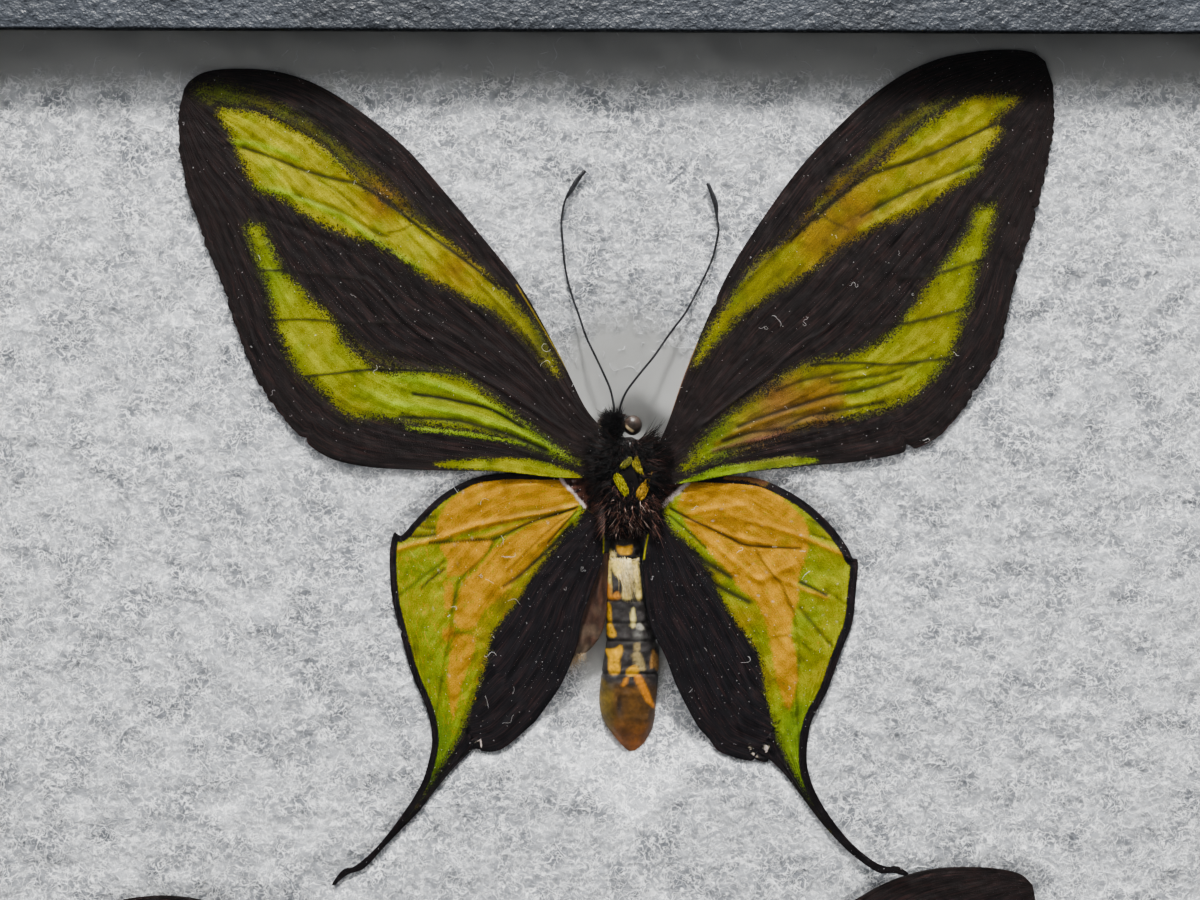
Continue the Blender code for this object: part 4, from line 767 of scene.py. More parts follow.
rightHindwing = {
    "hinge": (4.5, -3.9),
    "rows": [
        ((3.6, 0.7), (3.4, -5.1)), ((8.2, 0.8), (2.4, -9.2)), ((13.2, 0.7), (2.0, -12.1)), ((18.2, 0.3), (2.4, -16.6)),
        ((22.3, -1.3), (3.2, -20.9)), ((26.0, -3.7), (5.3, -25.1)), ((29.1, -6.7), (7.0, -29.5)),
        ((31.2, -9.6), (9.7, -34.6)), ((31.8, -10.9), (11.4, -36.6)), ((32.6, -11.5), (13.2, -38.6)),
        ((32.3, -15.6), (17.5, -39.8)), ((31.8, -20.1), (18.6, -38.6)), ((30.2, -24.4), (19.6, -39.2)),
        ((28.3, -29.8), (21.2, -40.6)), ((26.1, -34.1), (22.7, -42.2)), ((25.4, -38.1), (24.3, -44.3)),
        ((25.7, -41.6), (26.0, -46.6)), ((27.4, -45.6), (28.0, -49.1)), ((30.8, -50.3), (31.2, -52.4)),
        ((34.1, -53.3), (33.9, -54.5)), ((36.4, -54.5), (35.8, -55.5)), ((38.1, -54.5), (37.6, -55.5)),
        ((39.3, -55.1), (38.9, -55.8)), ((39.8, -55.5), (39.5, -55.9)),
    ],
    "nicks": [((18.3, -39.2), 1.8, 0.35), ((19.5, -39.0), 0.5, 0.3)],
    "teeth": (2.0, 0.1),
    "margin": (1.15, 0.3),
    "inner": [(5.1, -5.0), (8.7, -9.0), (11.5, -12.8), (13.4, -17.0), (15.8, -20.8), (18.1, -23.7), (19.1, -26.5),
              (19.5, -29.8), (20.5, -34.1), (21.9, -37.9), (23.8, -41.7), (26.2, -45.4), (28.5, -48.3), (30.4, -50.2),
              (45.0, -50.0), (45.0, 8.0), (7.5, 8.0)],
    "ground": "green",
    "patches": [
        ([(7.0, -3.4), (9.6, 1.0), (15.8, 1.6), (20.0, -1.4), (22.2, -2.7), (24.6, -5.3), (25.7, -7.3), (25.3, -10.3),
          (24.6, -12.5), (23.9, -15.1), (24.3, -16.0), (23.7, -18.4), (23.1, -21.6), (23.9, -25.0), (24.0, -28.5),
          (22.9, -32.6), (21.5, -29.8), (20.6, -25.7), (20.0, -22.2), (19.0, -19.2), (18.1, -17.3), (15.5, -15.1),
          (14.0, -12.9), (12.0, -10.8), (10.3, -8.6), (9.0, -7.3), (7.2, -5.0)], "gold", 1.0, 0.3),
    ],
    "spots": [
        ((16.5, -20.0), 3.0, "mustard", 0.9), ((12.5, -13.0), 2.0, "mustard", 0.7), ((20.5, -22.0), 1.6, "green", 0.7),
        ((20.3, -27.5), 2.2, "mustard", 0.7), ((28.0, -18.0), 4.5, "yellowGreen", 0.45), ((24.5, -36.0), 4.5, "leaf", 0.7),
        ((26.5, -42.5), 4.5, "leaf", 0.9), ((7.4, -5.2), 1.5, "lime", 0.9), ((26.5, -27.0), 3.0, "mustard", 0.5),
        ((28.5, -9.5), 2.5, "mustard", 0.3), ((16.0, -2.0), 2.5, "paleGold", 0.5), ((10.0, -11.5), 1.8, "leaf", 0.5),
    ],
    "paintedShade": [
        ([(6.2, -4.3), (8.1, -3.7), (10.3, -2.9), (11.8, -2.4), (11.6, -2.9), (9.8, -3.7), (8.1, -4.7)], 0.66),
        ([(9.2, -5.2), (12.4, -5.0), (15.7, -5.2), (18.1, -6.1), (15.5, -6.7), (12.9, -6.4)], 0.6),
        ([(13.7, -7.3), (16.8, -6.6), (20.0, -7.1), (23.3, -7.9), (25.3, -8.8), (23.3, -9.0), (20.3, -9.2), (18.1, -8.1),
          (15.7, -7.7)], 0.7),
    ],
    "ridges": [
        ([(8.1, -4.9), (10.9, -4.3), (13.7, -3.8), (16.8, -3.5)], 0.4, 0.12, "gold"),
        ([(16.8, -5.8), (18.1, -6.1), (21.1, -6.8), (26.6, -8.8), (31.8, -11.1)], 0.35, 0.16, "gold"),
        ([(8.7, -5.8), (12.0, -6.9), (15.0, -8.0), (17.6, -8.5), (20.3, -9.2)], 0.35, 0.14, "gold"),
        ([(17.4, -13.7), (19.0, -14.1), (20.5, -13.4), (22.4, -12.5), (23.6, -11.8)], 0.35, 0.13, "gold"),
        ([(20.7, -13.6), (22.4, -14.3), (24.4, -15.2), (28.1, -16.6)], 0.32, 0.13, "gold"),
        ([(11.0, -8.5), (15.0, -11.5), (19.0, -14.5)], 0.4, 0.12, None),
        ([(7.4, -2.8), (12.0, -0.9), (17.0, -1.2), (22.0, -3.8)], 0.9, 0.16, None),
        ([(19.5, -16.0), (21.6, -21.0), (22.6, -27.0), (22.4, -31.0)], 0.8, 0.14, None),
    ],
    "folds": [
        ([(5.9, -4.0), (8.7, -5.5), (12.0, -7.0), (14.6, -8.3), (16.8, -9.2), (21.1, -9.5), (24.4, -9.6)], 0.2, 0.08, 0.85),
        ([(18.1, -9.7), (19.0, -11.4), (20.5, -13.4), (21.8, -14.7), (22.4, -16.4), (23.5, -18.6)], 0.2, -0.05, 0.6),
        ([(24.4, -14.4), (26.3, -15.3), (28.1, -16.2)], 0.24, 0.08, 0.9),
        ([(27.9, -15.3), (29.6, -16.6), (30.7, -17.4)], 0.2, 0.06, 0.5),
        ([(24.4, -18.1), (26.6, -20.8), (28.9, -23.4)], 0.3, 0.08, 0.6),
        ([(9.0, -10.3), (11.8, -12.1), (14.6, -13.8)], 0.42, 0.1, 0.8),
        ([(12.2, -14.7), (14.6, -16.0), (17.2, -17.3)], 0.42, 0.1, 0.8),
        ([(5.8, -5.0), (8.4, -7.2), (11.0, -9.6)], 0.18, 0.06, 0.75),
        ([(25.5, -5.5), (28.0, -6.8)], 0.18, 0.05, 0.6),
        ([(26.0, -7.6), (29.4, -8.6)], 0.18, 0.05, 0.6),
        ([(23.5, -18.6), (24.3, -24.5), (23.9, -30.0), (24.6, -38.0), (27.0, -44.0)], 0.2, -0.06, 0.35),
        ([(18.6, -23.0), (20.2, -29.0), (21.5, -35.5), (25.5, -43.0)], 0.2, -0.06, 0.25),
        ([(19.5, -22.6), (22.5, -22.0), (26.0, -24.0)], 0.18, -0.04, 0.35),
    ],
    "glintLines": [([(4.9, -3.6), (6.0, -2.5), (7.1, -1.5), (8.3, -0.5)], 0.36), ([(17.1, -37.3), (17.9, -39.0)], 0.13),
             ([(20.0, -37.7), (19.5, -38.8)], 0.13)],
    "edgeLine": ([(2.8, -7.8), (2.4, -9.4), (2.2, -11.2)], 0.17, "yellowGreen"),
    "veins": [[(4.6, -6.2), (7.4, -13.4), (10.6, -21.6), (14.0, -30.0), (16.8, -37.2)],
              [(5.0, -5.8), (9.4, -12.6), (13.8, -20.8), (16.6, -28.4), (18.8, -35.6)],
              [(4.2, -7.0), (5.0, -14.0), (7.2, -22.6), (10.4, -31.6)]],
    "membrane": [(8.9, 1.0), (4.2, 1.5), (3.0, -5.6), (4.6, -3.9), (5.7, -2.7), (7.0, -1.6), (8.5, -0.3)],
    "coppery": [(14.0, 0.6), (16.6, 0.5), (19.4, -0.3)],
}


def movedTo(butterfly, spots, hinge, spread):
    # flat places in millimetres, swung round the wing's hinge, turned and placed on the batting
    swing, turn = math.radians(spread), math.radians(butterfly["turn"])
    offset = spots - np.array(hinge)
    c, s = math.cos(swing), math.sin(swing)
    spots = offset @ np.array([[c, s], [-s, c]]) + np.array(hinge)
    c, s = math.cos(turn), math.sin(turn)
    return spots @ np.array([[c, s], [-s, c]]) + np.array(butterfly["place"])


def raggedEdge(edge, other, start, depth, nicks, seed):
    # small teeth that stand out from the edge from a share of its length on, and bell-shaped nicks
    way = unit(np.gradient(edge, axis=0))
    outward = np.stack([-way[:, 1], way[:, 0]], -1)
    outward *= np.sign(((edge - other) * outward).sum(1, keepdims=True) + 1e-9)
    length = np.concatenate([[0], np.cumsum(np.hypot(*np.diff(edge, axis=0).T))])
    spots = np.stack([length, np.zeros(len(length))], -1)
    share = np.linspace(0, 1, len(edge))
    teeth = depth * (0.6 * np.abs(ripples(spots, 2.6, seed)) - 0.4 + 0.25 * ripples(spots, 0.9, seed + 1))
    move = teeth * np.clip((share - start) / 0.1, 0, 1) * np.clip((1 - share) / 0.05, 0, 1)
    for place, nick, width in nicks:
        move -= nick * np.exp(-(np.hypot(*(edge - np.array(place)).T) / width) ** 2)
    return edge + outward * move[:, None]


def paintWing(facts, spots, edgeGap, seed):
    # how many coloured scales there are, their colour and the dark lines, at each spot of a wing
    count = len(spots)
    names = {name: linear(*colour) * scaleShade for name, colour in scaleColours.items()}
    jitter = 0.22 * np.random.default_rng(seed).normal(size=count)
    cover, tint, line = np.zeros(count), np.zeros((count, 3)), np.zeros(count)
    if "inner" in facts:
        margin, soft = facts["margin"]
        depth = depthIn(roundOutline(facts["inner"], 2), spots)
        cover = np.clip(0.5 + np.minimum(depth / 1.9, (edgeGap - margin) / soft), 0, 1) * 0.84
        tint += names[facts["ground"]]
    strongest = np.zeros(count)
    for outline, colour, share, soft in facts["patches"]:
        part = coverOf(outline, spots, soft if "inner" in facts else soft * 2.1)
        if "inner" in facts:
            part = np.clip((part - 0.5) * 2 + 0.5 + jitter * 2, 0, 1)
            tint += (names[colour] - tint) * part[:, None]
            cover = np.where(cover > 0.02, np.maximum(cover, part * share * np.clip(cover * 1.6, 0, 1)), cover)
        else:
            more = part * share
            tint = np.where((more > strongest)[:, None], names[colour], tint)
            strongest = np.maximum(strongest, more)
            cover = np.maximum(cover, more)
    for place, radius, colour, strength in facts["spots"]:
        near = strength * np.exp(-(np.hypot(*(spots - np.array(place)).T) / radius) ** 2)
        if "inner" in facts:
            near *= np.where(tint[:, 0] > 0.35, 0.25, 1.0)
        tint += (names[colour] - tint) * near[:, None]
    # painted highlight: a ridge's colour is the light that its crest catches
    for ridge, width, height, colour in facts["ridges"]:
        if colour:
            near = 0.8 * lineMask(ridge, spots, width)
            tint += (names[colour] - tint) * near[:, None]
    # painted shade: the pleat valleys inside these outlines are darkened
    for outline, factor in facts.get("paintedShade", []):
        tint *= 1 - (1 - factor) * coverOf(outline, spots, 0.35)[:, None]
    # the folds' dark lines are partly dark veins and partly painted shade in the creases
    for fold, width, height, dark in facts["folds"]:
        line = np.maximum(line, min(1.0, dark * 1.15) * lineMask(fold, spots, width * 1.1))
    drift = np.clip(0.5 * ripples(spots, 7, seed + 15) + 0.3 * ripples(spots, 3, seed + 16), 0, 1)[:, None]
    leafy = np.where(tint[:, :1] < 0.35, 0.4, 0.0)
    tint += (names["leaf"] - tint) * drift * leafy
    if "inner" not in facts:
        thin = np.clip(0.5 * ripples(spots, 2.4, seed + 17) + 0.5 * ripples(spots, 6.0, seed + 18), -1, 1)
        cover = cover * (0.93 + 0.09 * thin)
    tint *= 1 + 0.13 * ripples(spots, 5, seed + 5)[:, None] + 0.09 * ripples(spots, 1.8, seed + 6)[:, None]
    tint *= (0.55 + 0.45 * np.clip(cover / 0.75, 0, 1)[:, None]) * facts.get("tone", 1.0)
    gloss = np.zeros(count)
    if "edgeLine" in facts:
        course, width, colour = facts["edgeLine"]
        near = lineMask(course, spots, width)
        tint += (names[colour] - tint) * near[:, None]
        cover = np.maximum(cover, near)
    if "coppery" in facts:
        near = np.clip(1.3 * lineMask(facts["coppery"], spots, 0.5), 0, 1)
        tint += (names["copper"] * 0.7 - tint) * near[:, None]
        cover = np.maximum(cover, near)
    if "membrane" in facts:
        part = coverOf(facts["membrane"], spots, 0.12)
        tint += (names["rose"] * (0.28 + 0.2 * ripples(spots, 1.2, seed + 20)[:, None]) - tint) * part[:, None]
        cover = cover * (1 - part) + 0.75 * part
    # painted highlights: pearly white glints along these lines, on strips that are also made glossy
    for course, width in facts.get("glintLines", []):
        glint = np.clip(2.2 * lineMask(course, spots, width) - 0.6 + 0.35 * ripples(spots, 0.9, seed + 19), 0, 1)
        tint += (names["glintPearl"] - tint) * glint[:, None]
        cover = np.maximum(cover * (1 - glint), glint)
        gloss = np.maximum(gloss, glint)
    return np.clip(cover, 0, 1), np.clip(tint, 0, 1), np.clip(line, 0, 1) * (1 - gloss), gloss


def wingRelief(facts, spots, share, across, seed):
    # height of the wing's surface over its smooth form: veins and pleats up, folds down, fine cockles
    relief = 0.05 * ripples(spots, 4.5, seed + 7) + 0.025 * ripples(spots, 1.6, seed + 8)
    streaks = np.stack([share * 9, across * 42], -1)
    relief += 0.012 * ripples(streaks, 1.0, seed + 10) * np.clip(share * 4, 0, 1)
    pleat = np.cos(2 * np.pi * (across * 15 + 0.35 * ripples(spots, 14, seed + 9)))
    relief += 0.03 * pleat * np.clip(share * 4, 0, 1) * np.clip((0.9 - share) * 4, 0, 1)
    for vein in facts.get("veins", []):
        relief += 0.1 * lineMask(vein, spots, 0.28)
    for ridge, width, height, colour in facts["ridges"]:
        relief += height * lineMask(ridge, spots, width)
    for fold, width, depth, dark in facts["folds"]:
        relief -= depth * lineMask(fold, spots, width * 1.3)
    return np.clip(relief, -0.2, 0.24)


def wingMaterial(name, ground, rough):
    material, tree, shader = newMaterial(name)
    place = objectPlace(tree)
    flow = addNode(tree, "UVMap", uv_map="flow").outputs["UV"]
    gloss = valuesOf(tree, "gloss")
    scales = useGroup(tree, scaleGroup, {
        "Vector": place, "Flow": flow, "Cover": valuesOf(tree, "cover"), "Tint": valuesOf(tree, "tint", "Color"),
        "Ground": paint(*ground), "Line": valuesOf(tree, "line")})
    tree.links.new(scales.outputs["Color"], shader.inputs["Base Color"])
    scaly = stretch(tree, scales.outputs["Mask"], 0.0, 1.0, rough + 0.1, rough)
    roughness = maths(tree, "SUBTRACT", scaly, maths(tree, "MULTIPLY", gloss, rough - 0.16))
    tree.links.new(roughness, shader.inputs["Roughness"])
    shader.inputs["Specular IOR Level"].default_value = 0.08
    tree.links.new(bumpOf(tree, scales.outputs["Height"], 0.05 * mm, 0.7), shader.inputs["Normal"])
    return material


forewingFinish = wingMaterial("green and black scales", (20, 16, 16), 0.56)
hindwingFinish = wingMaterial("gold and black scales", (12, 11, 14), 0.5)
wingTops = []  # top points of every wing, in metres, which the batting and the dust use


def shellFaces(rows, columns):
    # a top grid of points, a grid under it with every second point, and triangles round the rim
    top = np.arange(rows * columns).reshape(rows, columns)
    lowRows, lowColumns = (rows + 1) // 2, (columns + 1) // 2
    low = rows * columns + np.arange(lowRows * lowColumns).reshape(lowRows, lowColumns)
    quads = np.stack([top[:-1, :-1], top[1:, :-1], top[1:, 1:], top[:-1, 1:]], -1).reshape(-1, 4)
    under = np.stack([low[:-1, :-1], low[:-1, 1:], low[1:, 1:], low[1:, :-1]], -1).reshape(-1, 4)
    rim, lowRim = (np.concatenate([g[:-1, 0], g[-1, :-1], g[:0:-1, -1], g[0, :0:-1]]) for g in (top, low))
    here, middle, after = rim[0::2], rim[1::2], np.roll(rim[0::2], -1)
    below, belowAfter = lowRim, np.roll(lowRim, -1)
    rimFaces = np.concatenate([np.stack([here, below, middle], -1), np.stack([middle, below, belowAfter], -1),
                               np.stack([middle, belowAfter, after], -1)])
    return np.concatenate([quads, under]), rimFaces


def wingPiece(label, part, side, facts, stations, strips):
    # A ruled sheet from the front edge to the rear edge, raised towards its tip, with its relief
    butterfly = butterflies[label]
    seed = 100 * butterfly["seed"] + (10 if part == "fore" else 20) + (1 if side == "left" else 2)
    rows = np.array(facts["rows"])
    front, rear = curveThrough(rows[:, 0], stations), curveThrough(rows[:, 1], stations)
    start, depth = facts["teeth"]
    rearMove = raggedEdge(rear, front, start, depth, facts["nicks"], seed) - rear
    frontMove = raggedEdge(front, rear, 2.0, 0.0, facts["nicks"], seed + 3) - front
    share, across = np.meshgrid(np.linspace(0, 1, stations), np.linspace(0, 1, strips), indexing="ij")
    spots = front[:, None] * (1 - across[..., None]) + rear[:, None] * across[..., None]
    spots += rearMove[:, None] * across[..., None] ** 6 + frontMove[:, None] * (1 - across[..., None]) ** 6
    spots, share, across = spots.reshape(-1, 2), share.ravel(), across.ravel()
    fore = part == "fore"
    rootZ = wingHeights[part]
    tipZ = butterfly["foreTip"] if fore else wingHeights["hindTip"]
    lift = butterfly["tailLift"] if not fore and side == "right" else 0.0
    height = rootZ + (tipZ - rootZ) * np.minimum(1, 2.5 * share)
    height = height + lift * np.clip((share - 0.58) / 0.24, 0, 1) ** 1.5
    height = height + wingHeights["camber"] * np.sin(np.pi * across) * np.sin(np.pi * share)
    height = height + wingHeights["lift"] + wingRelief(facts, spots, share, across, seed)
    edgeGap = distanceTo(front, spots)
    cover, tint, line, gloss = paintWing(facts, spots, edgeGap, seed)
    sign = 1 if side == "left" else -1
    spread = sign * butterfly["foreSpread" if fore else "hindSpread"]
    flat = movedTo(butterfly, spots, facts["hinge"], spread)
    top = np.column_stack([flat, height]) * mm
    wingTops.append(top)
    pick = np.arange(stations * strips).reshape(stations, strips)[::2, ::2].ravel()
    under = top[pick] - np.array([0, 0, wingHeights["thickness"] * mm])
    quads, rim = shellFaces(stations, strips)
    if side == "right":
        quads, rim = quads[:, ::-1], rim[:, ::-1]
    node = f"{label}_{part}wing_{side}"
    mesh = meshFrom(node + "_scaled", np.concatenate([top, under]), [quads, rim])
    for name, values in (("cover", cover), ("tint", tint), ("line", line), ("gloss", gloss)):
        addValues(mesh, name, np.concatenate([values, values[pick]]))
    addFlow(mesh, np.concatenate([share, share[pick]]), np.concatenate([across, across[pick]]))
    return addPiece(mesh, forewingFinish if fore else hindwingFinish, part + "wing", node)


for label, foreGrid, hindGrid in (("upper", (361, 199), (351, 121)), ("lower", (221, 121), (221, 81))):
    wingPiece(label, "fore", "left", leftForewing, *foreGrid)
    wingPiece(label, "fore", "right", rightForewing, *foreGrid)
    wingPiece(label, "hind", "left", leftHindwing, *hindGrid)
    wingPiece(label, "hind", "right", rightHindwing, *hindGrid)
    print(label + " wings")


# Dust and loose threads on the wings, and the brown fold beside the abdomen

dustFacts = {"motes": 300, "moteSize": (0.02, 0.055), "threads": 14, "threadRadius": 0.02, "above": 0.04,
             "cell": 0.5}


def threadMaterial(name, dull, bright, rough):
    material, tree, shader = newMaterial(name)
    place = objectPlace(tree)
    shine = stretch(tree, noiseOf(tree, place, 900, 2.0), 0.35, 0.65)
    base = blendOf(tree, maths(tree, "MULTIPLY", shine, valuesOf(tree, "tone")), paint(*dull), paint(*bright))
    tree.links.new(base, shader.inputs["Base Color"])
    tree.links.new(stretch(tree, shine, 0.0, 1.0, rough + 0.12, rough), shader.inputs["Roughness"])
    shader.inputs["Specular IOR Level"].default_value = 1.0
    return material


def curledPaths(centres, draw, steps, lengths, curl):
    # flat paths whose heading is a start angle, a steady bend and a wave, stepped along
    count = len(centres)
    along = np.linspace(0, 1, steps)[None, :]
    start = draw.uniform(0, 2 * np.pi, (count, 1))
    bend = draw.normal(0, curl, (count, 1))
    turns, phase = draw.uniform(0.6, 1.6, (count, 1)), draw.uniform(0, 1, (count, 1))
    wave = draw.normal(0, curl * 0.6, (count, 1)) * np.sin(2 * np.pi * (along * turns + phase))
    heading = start + bend * along + wave
    step = (lengths / (steps - 1))[:, None]
    x = np.cumsum(np.cos(heading) * step, axis=1)
    y = np.cumsum(np.sin(heading) * step, axis=1)
    paths = np.stack([x - x[:, -1:] / 2, y - y[:, -1:] / 2], -1)
    return paths + centres[:, None]


dustFinish = threadMaterial("pale dust", (176, 172, 168), (250, 250, 252), 0.4)


def dustOver(node, top, seed):
    # stretched eight-sided motes and a few curled threads, lying on random places of a wing's top
    draw = np.random.default_rng(seed)
    f = dustFacts
    count = f["motes"]
    cells, first = np.unique(np.round(top[:, :2] / (f["cell"] * mm)), axis=0, return_index=True)
    even = top[first]
    middles = even[draw.integers(0, len(even), count)] + np.array([0, 0, f["above"] * mm])
    corners = np.array([[1, 0, 0], [0, 1, 0], [-1, 0, 0], [0, -1, 0], [0, 0, 0.5], [0, 0, -0.5]])
    turn = draw.uniform(0, np.pi, (count, 1))
    stretched = corners[None] * np.stack([draw.uniform(0.8, 2.0, count), np.ones(count), np.ones(count)], -1)[:, None]
    x = stretched[..., 0] * np.cos(turn) - stretched[..., 1] * np.sin(turn)
    y = stretched[..., 0] * np.sin(turn) + stretched[..., 1] * np.cos(turn)
    size = draw.uniform(*f["moteSize"], (count, 1, 1)) * mm
    motes = middles[:, None] + np.stack([x, y, stretched[..., 2]], -1) * size
    sides = np.array([[0, 1, 4], [1, 2, 4], [2, 3, 4], [3, 0, 4], [1, 0, 5], [2, 1, 5], [3, 2, 5], [0, 3, 5]])
    moteFaces = (sides[None] + 6 * np.arange(count)[:, None, None]).reshape(-1, 3)
    steps, extra = 9, f["threads"]
    starts = even[draw.integers(0, len(even), extra)]
    lengths = (0.6 + 2.2 * draw.uniform(0, 1, extra) ** 2) * mm
    flat = curledPaths(starts[:, :2], draw, steps, lengths, 2.2)
    lift = (2 * f["above"] + 0.12 * np.abs(np.sin(np.linspace(0, 5, steps)))) * mm
    paths = np.concatenate([flat, np.broadcast_to((starts[:, 2:] + lift)[..., None], (extra, steps, 1))], -1)
    radii = f["threadRadius"] * mm * np.ones((extra, steps))
    points, faces = tubes(paths, radii, 3)
    total = len(motes) * 6
    mesh = meshFrom(node + "_dust", np.concatenate([motes.reshape(-1, 3), points]),
                    [moteFaces] + [part + total for part in faces])
    tone = np.concatenate([np.repeat(draw.uniform(0.1, 1.0, count), 6), np.repeat(draw.uniform(0.5, 1.0, extra), steps * 3)])
    addValues(mesh, "tone", tone)
    addPiece(mesh, dustFinish, "batting", node)


dustOver("upper_forewing_left", wingTops[0], 91)
dustOver("upper_forewing_right", wingTops[1], 92)
dustOver("upper_hindwing_left", wingTops[2], 93)
dustOver("upper_hindwing_right", wingTops[3], 94)

foldFacts = {
    "outer": [(-3.9, -10.2), (-4.6, -12.6), (-5.6, -15.3), (-6.7, -18.1), (-7.6, -19.9), (-8.3, -22.6),
              (-8.8, -24.6), (-9.2, -25.8)],
    "inner": [(-2.4, -10.6), (-2.7, -13.0), (-3.0, -16.0), (-3.1, -19.0), (-3.6, -21.4), (-4.4, -23.0),
              (-5.6, -24.4), (-7.4, -25.6)],
    "outerHeight": 15.55, "innerHeight": 14.5, "thickness": 0.1,
}


def foldSheet(butterfly):
    # a ruled sheet from under the wing's inner edge down to the abdomen, with long shallow pleats
    f = foldFacts
    rows, columns = 61, 25
    outer, inner = curveThrough(f["outer"], rows), curveThrough(f["inner"], rows)
    share, across = np.meshgrid(np.linspace(0, 1, rows), np.linspace(0, 1, columns), indexing="ij")
    spots = outer[:, None] * (1 - across[..., None]) + inner[:, None] * across[..., None]
    height = f["outerHeight"] + (f["innerHeight"] - f["outerHeight"]) * across ** 1.5
    height = height + 0.1 * np.sin(across * 13 + 2 * share) * np.sin(np.pi * across)
    flat = movedTo(butterfly, spots.reshape(-1, 2), leftHindwing["hinge"], butterfly["hindSpread"])
    return spots.reshape(-1, 2), np.column_stack([flat, height.ravel()]) * mm, share.ravel(), across.ravel()


for label, butterfly in butterflies.items():
    wingTops.append(foldSheet(butterfly)[1])


# Batting: a soft pad that sinks under the wings and bodies, with loose threads on it

battingFacts = {
    "cell": 1.0 * mm,
    "top": 16.75 * mm,
    "swell": 0.34 * mm,
    "underWing": 0.5 * mm,   # how far it stays below a wing
    "slope": 0.42,           # how steeply it rises beside a wing
    # for each piece of threads: how many, steps along each, shortest and further length
    "threads": [(9600, 4, 0.6, 1.6), (9600, 4, 0.8, 2.4), (6100, 6, 1.4, 4.6)],
    "threadRadius": 0.04 * mm,
    "pressed": (4.5, 8.5),   # distances from the lip, in mm, between which the smooth edge, drawn threadless for the lip's shadow, gives way to the fibres
}
bodyTroughs = [((0.0, 0.3), (5.4, 8.6), 10.4, 8.4), ((0.0, -23.0), (5.0, 17.8), 11.6, 8.4),
               ((-1.3, 8.2), (3.6, 3.6), 12.4, 0.75)]
# smooth, threadless ovals round each body, where the hollows lie in shade
pressedOvals = [((-0.5, -17.5), (8.5, 13.5)), ((-0.3, 10.5), (11.0, 12.0))]  # middle and half widths, round each body


feelers = {
    "left": [(-2.1, 9.8), (-2.2, 10.9), (-2.7, 13.0), (-3.7, 15.3), (-5.0, 18.0), (-6.1, 20.3), (-7.1, 23.2),
             (-8.3, 26.6), (-9.1, 30.0), (-9.5, 33.7), (-9.7, 36.3), (-9.5, 38.2), (-9.1, 39.8), (-8.3, 41.1),
             (-7.3, 42.7), (-6.3, 43.9)],
    "right": [(-1.3, 9.9), (-1.1, 10.9), (-0.3, 12.7), (1.5, 15.1), (3.6, 17.7), (5.8, 20.9), (7.9, 23.7),
              (9.4, 26.4), (10.7, 29.0), (11.8, 31.6), (12.3, 33.7), (12.6, 35.6), (12.4, 37.1), (12.2, 39.0),
              (11.8, 40.3), (11.0, 42.2)],
}
feelerFacts = {"radius": 0.15, "low": 15.0, "high": 17.2, "clubStart": 0.8, "clubSwell": 2.25}

def settle(butterfly, points):
    # body places in millimetres, turned, placed and in metres
    flat = movedTo(butterfly, points[..., :2].reshape(-1, 2), (0.0, 0.0), 0.0).reshape(*points.shape[:-1], 2)
    return np.concatenate([flat, points[..., 2:]], -1) * mm


def feelerCovers():
    # a sheet between the two antennae of each butterfly, at their height
    share = np.linspace(0, 1, 90)
    left, right = curveThrough(feelers["left"], 90), curveThrough(feelers["right"], 90)
    across = np.linspace(-0.12, 1.12, 60)[None, :, None]
    flat = left[:, None] * (1 - across) + right[:, None] * across
    height = feelerFacts["low"] + (feelerFacts["high"] - feelerFacts["low"]) * np.sin(share * np.pi / 2)
    sheet = np.concatenate([flat, np.broadcast_to(height[:, None, None], (90, 60, 1))], -1).reshape(-1, 3)
    return [settle(butterfly, sheet) for butterfly in butterflies.values()]


def battingSurface():
    # Rolling noise, held below a ceiling that is the lowest wing over each cell less a gap, and
    # that rises at a slope away from the wings; the bodies lie in oval troughs.
    low, high = (np.array(corner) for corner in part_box("batting"))
    columns = int((high[0] - low[0]) / battingFacts["cell"]) + 1
    rows = int((high[1] - low[1]) / battingFacts["cell"]) + 1
    x, y = np.linspace(low[0], high[0], columns), np.linspace(low[1], high[1], rows)
    gridX, gridY = np.meshgrid(x, y)
    spots = np.stack([gridX.ravel(), gridY.ravel()], -1) / mm
    noise = 0.5 * ripples(spots, 26, 31) + 0.35 * ripples(spots, 9, 32) + 0.28 * ripples(spots, 4, 33)
    surface = battingFacts["top"] + battingFacts["swell"] * noise.reshape(rows, columns)
    ceiling = np.full((rows, columns), 1.0)
    stepX, stepY = x[1] - x[0], y[1] - y[0]
    for top in wingTops + feelerCovers():
        i = np.rint((top[:, 1] - low[1]) / stepY).astype(int)
        j = np.rint((top[:, 0] - low[0]) / stepX).astype(int)
        held = (i >= 0) & (i < rows) & (j >= 0) & (j < columns)
        np.minimum.at(ceiling, (i[held], j[held]), top[held, 2] - battingFacts["underWing"])
    for butterfly in butterflies.values():
        away = np.stack([gridX, gridY], -1) / mm - np.array(butterfly["place"])
        for middle, half, depth, slope in bodyTroughs:
            oval = np.hypot((away[..., 0] - middle[0]) / half[0], (away[..., 1] - middle[1]) / half[1])
            wall = depth + slope * np.clip(oval - 0.8, 0, 9)
            ceiling = np.minimum(ceiling, wall * mm)
    rise = battingFacts["slope"] * stepX
    for step in range(9):
        wide = np.pad(ceiling, 1, mode="edge")
        sides = np.minimum(np.minimum(wide[:-2, 1:-1], wide[2:, 1:-1]), np.minimum(wide[1:-1, :-2], wide[1:-1, 2:]))
        ceiling = np.minimum(ceiling, sides + rise)
    surface = np.minimum(surface, ceiling + 0.06 * mm * noise.reshape(rows, columns))
    return x, y, surface


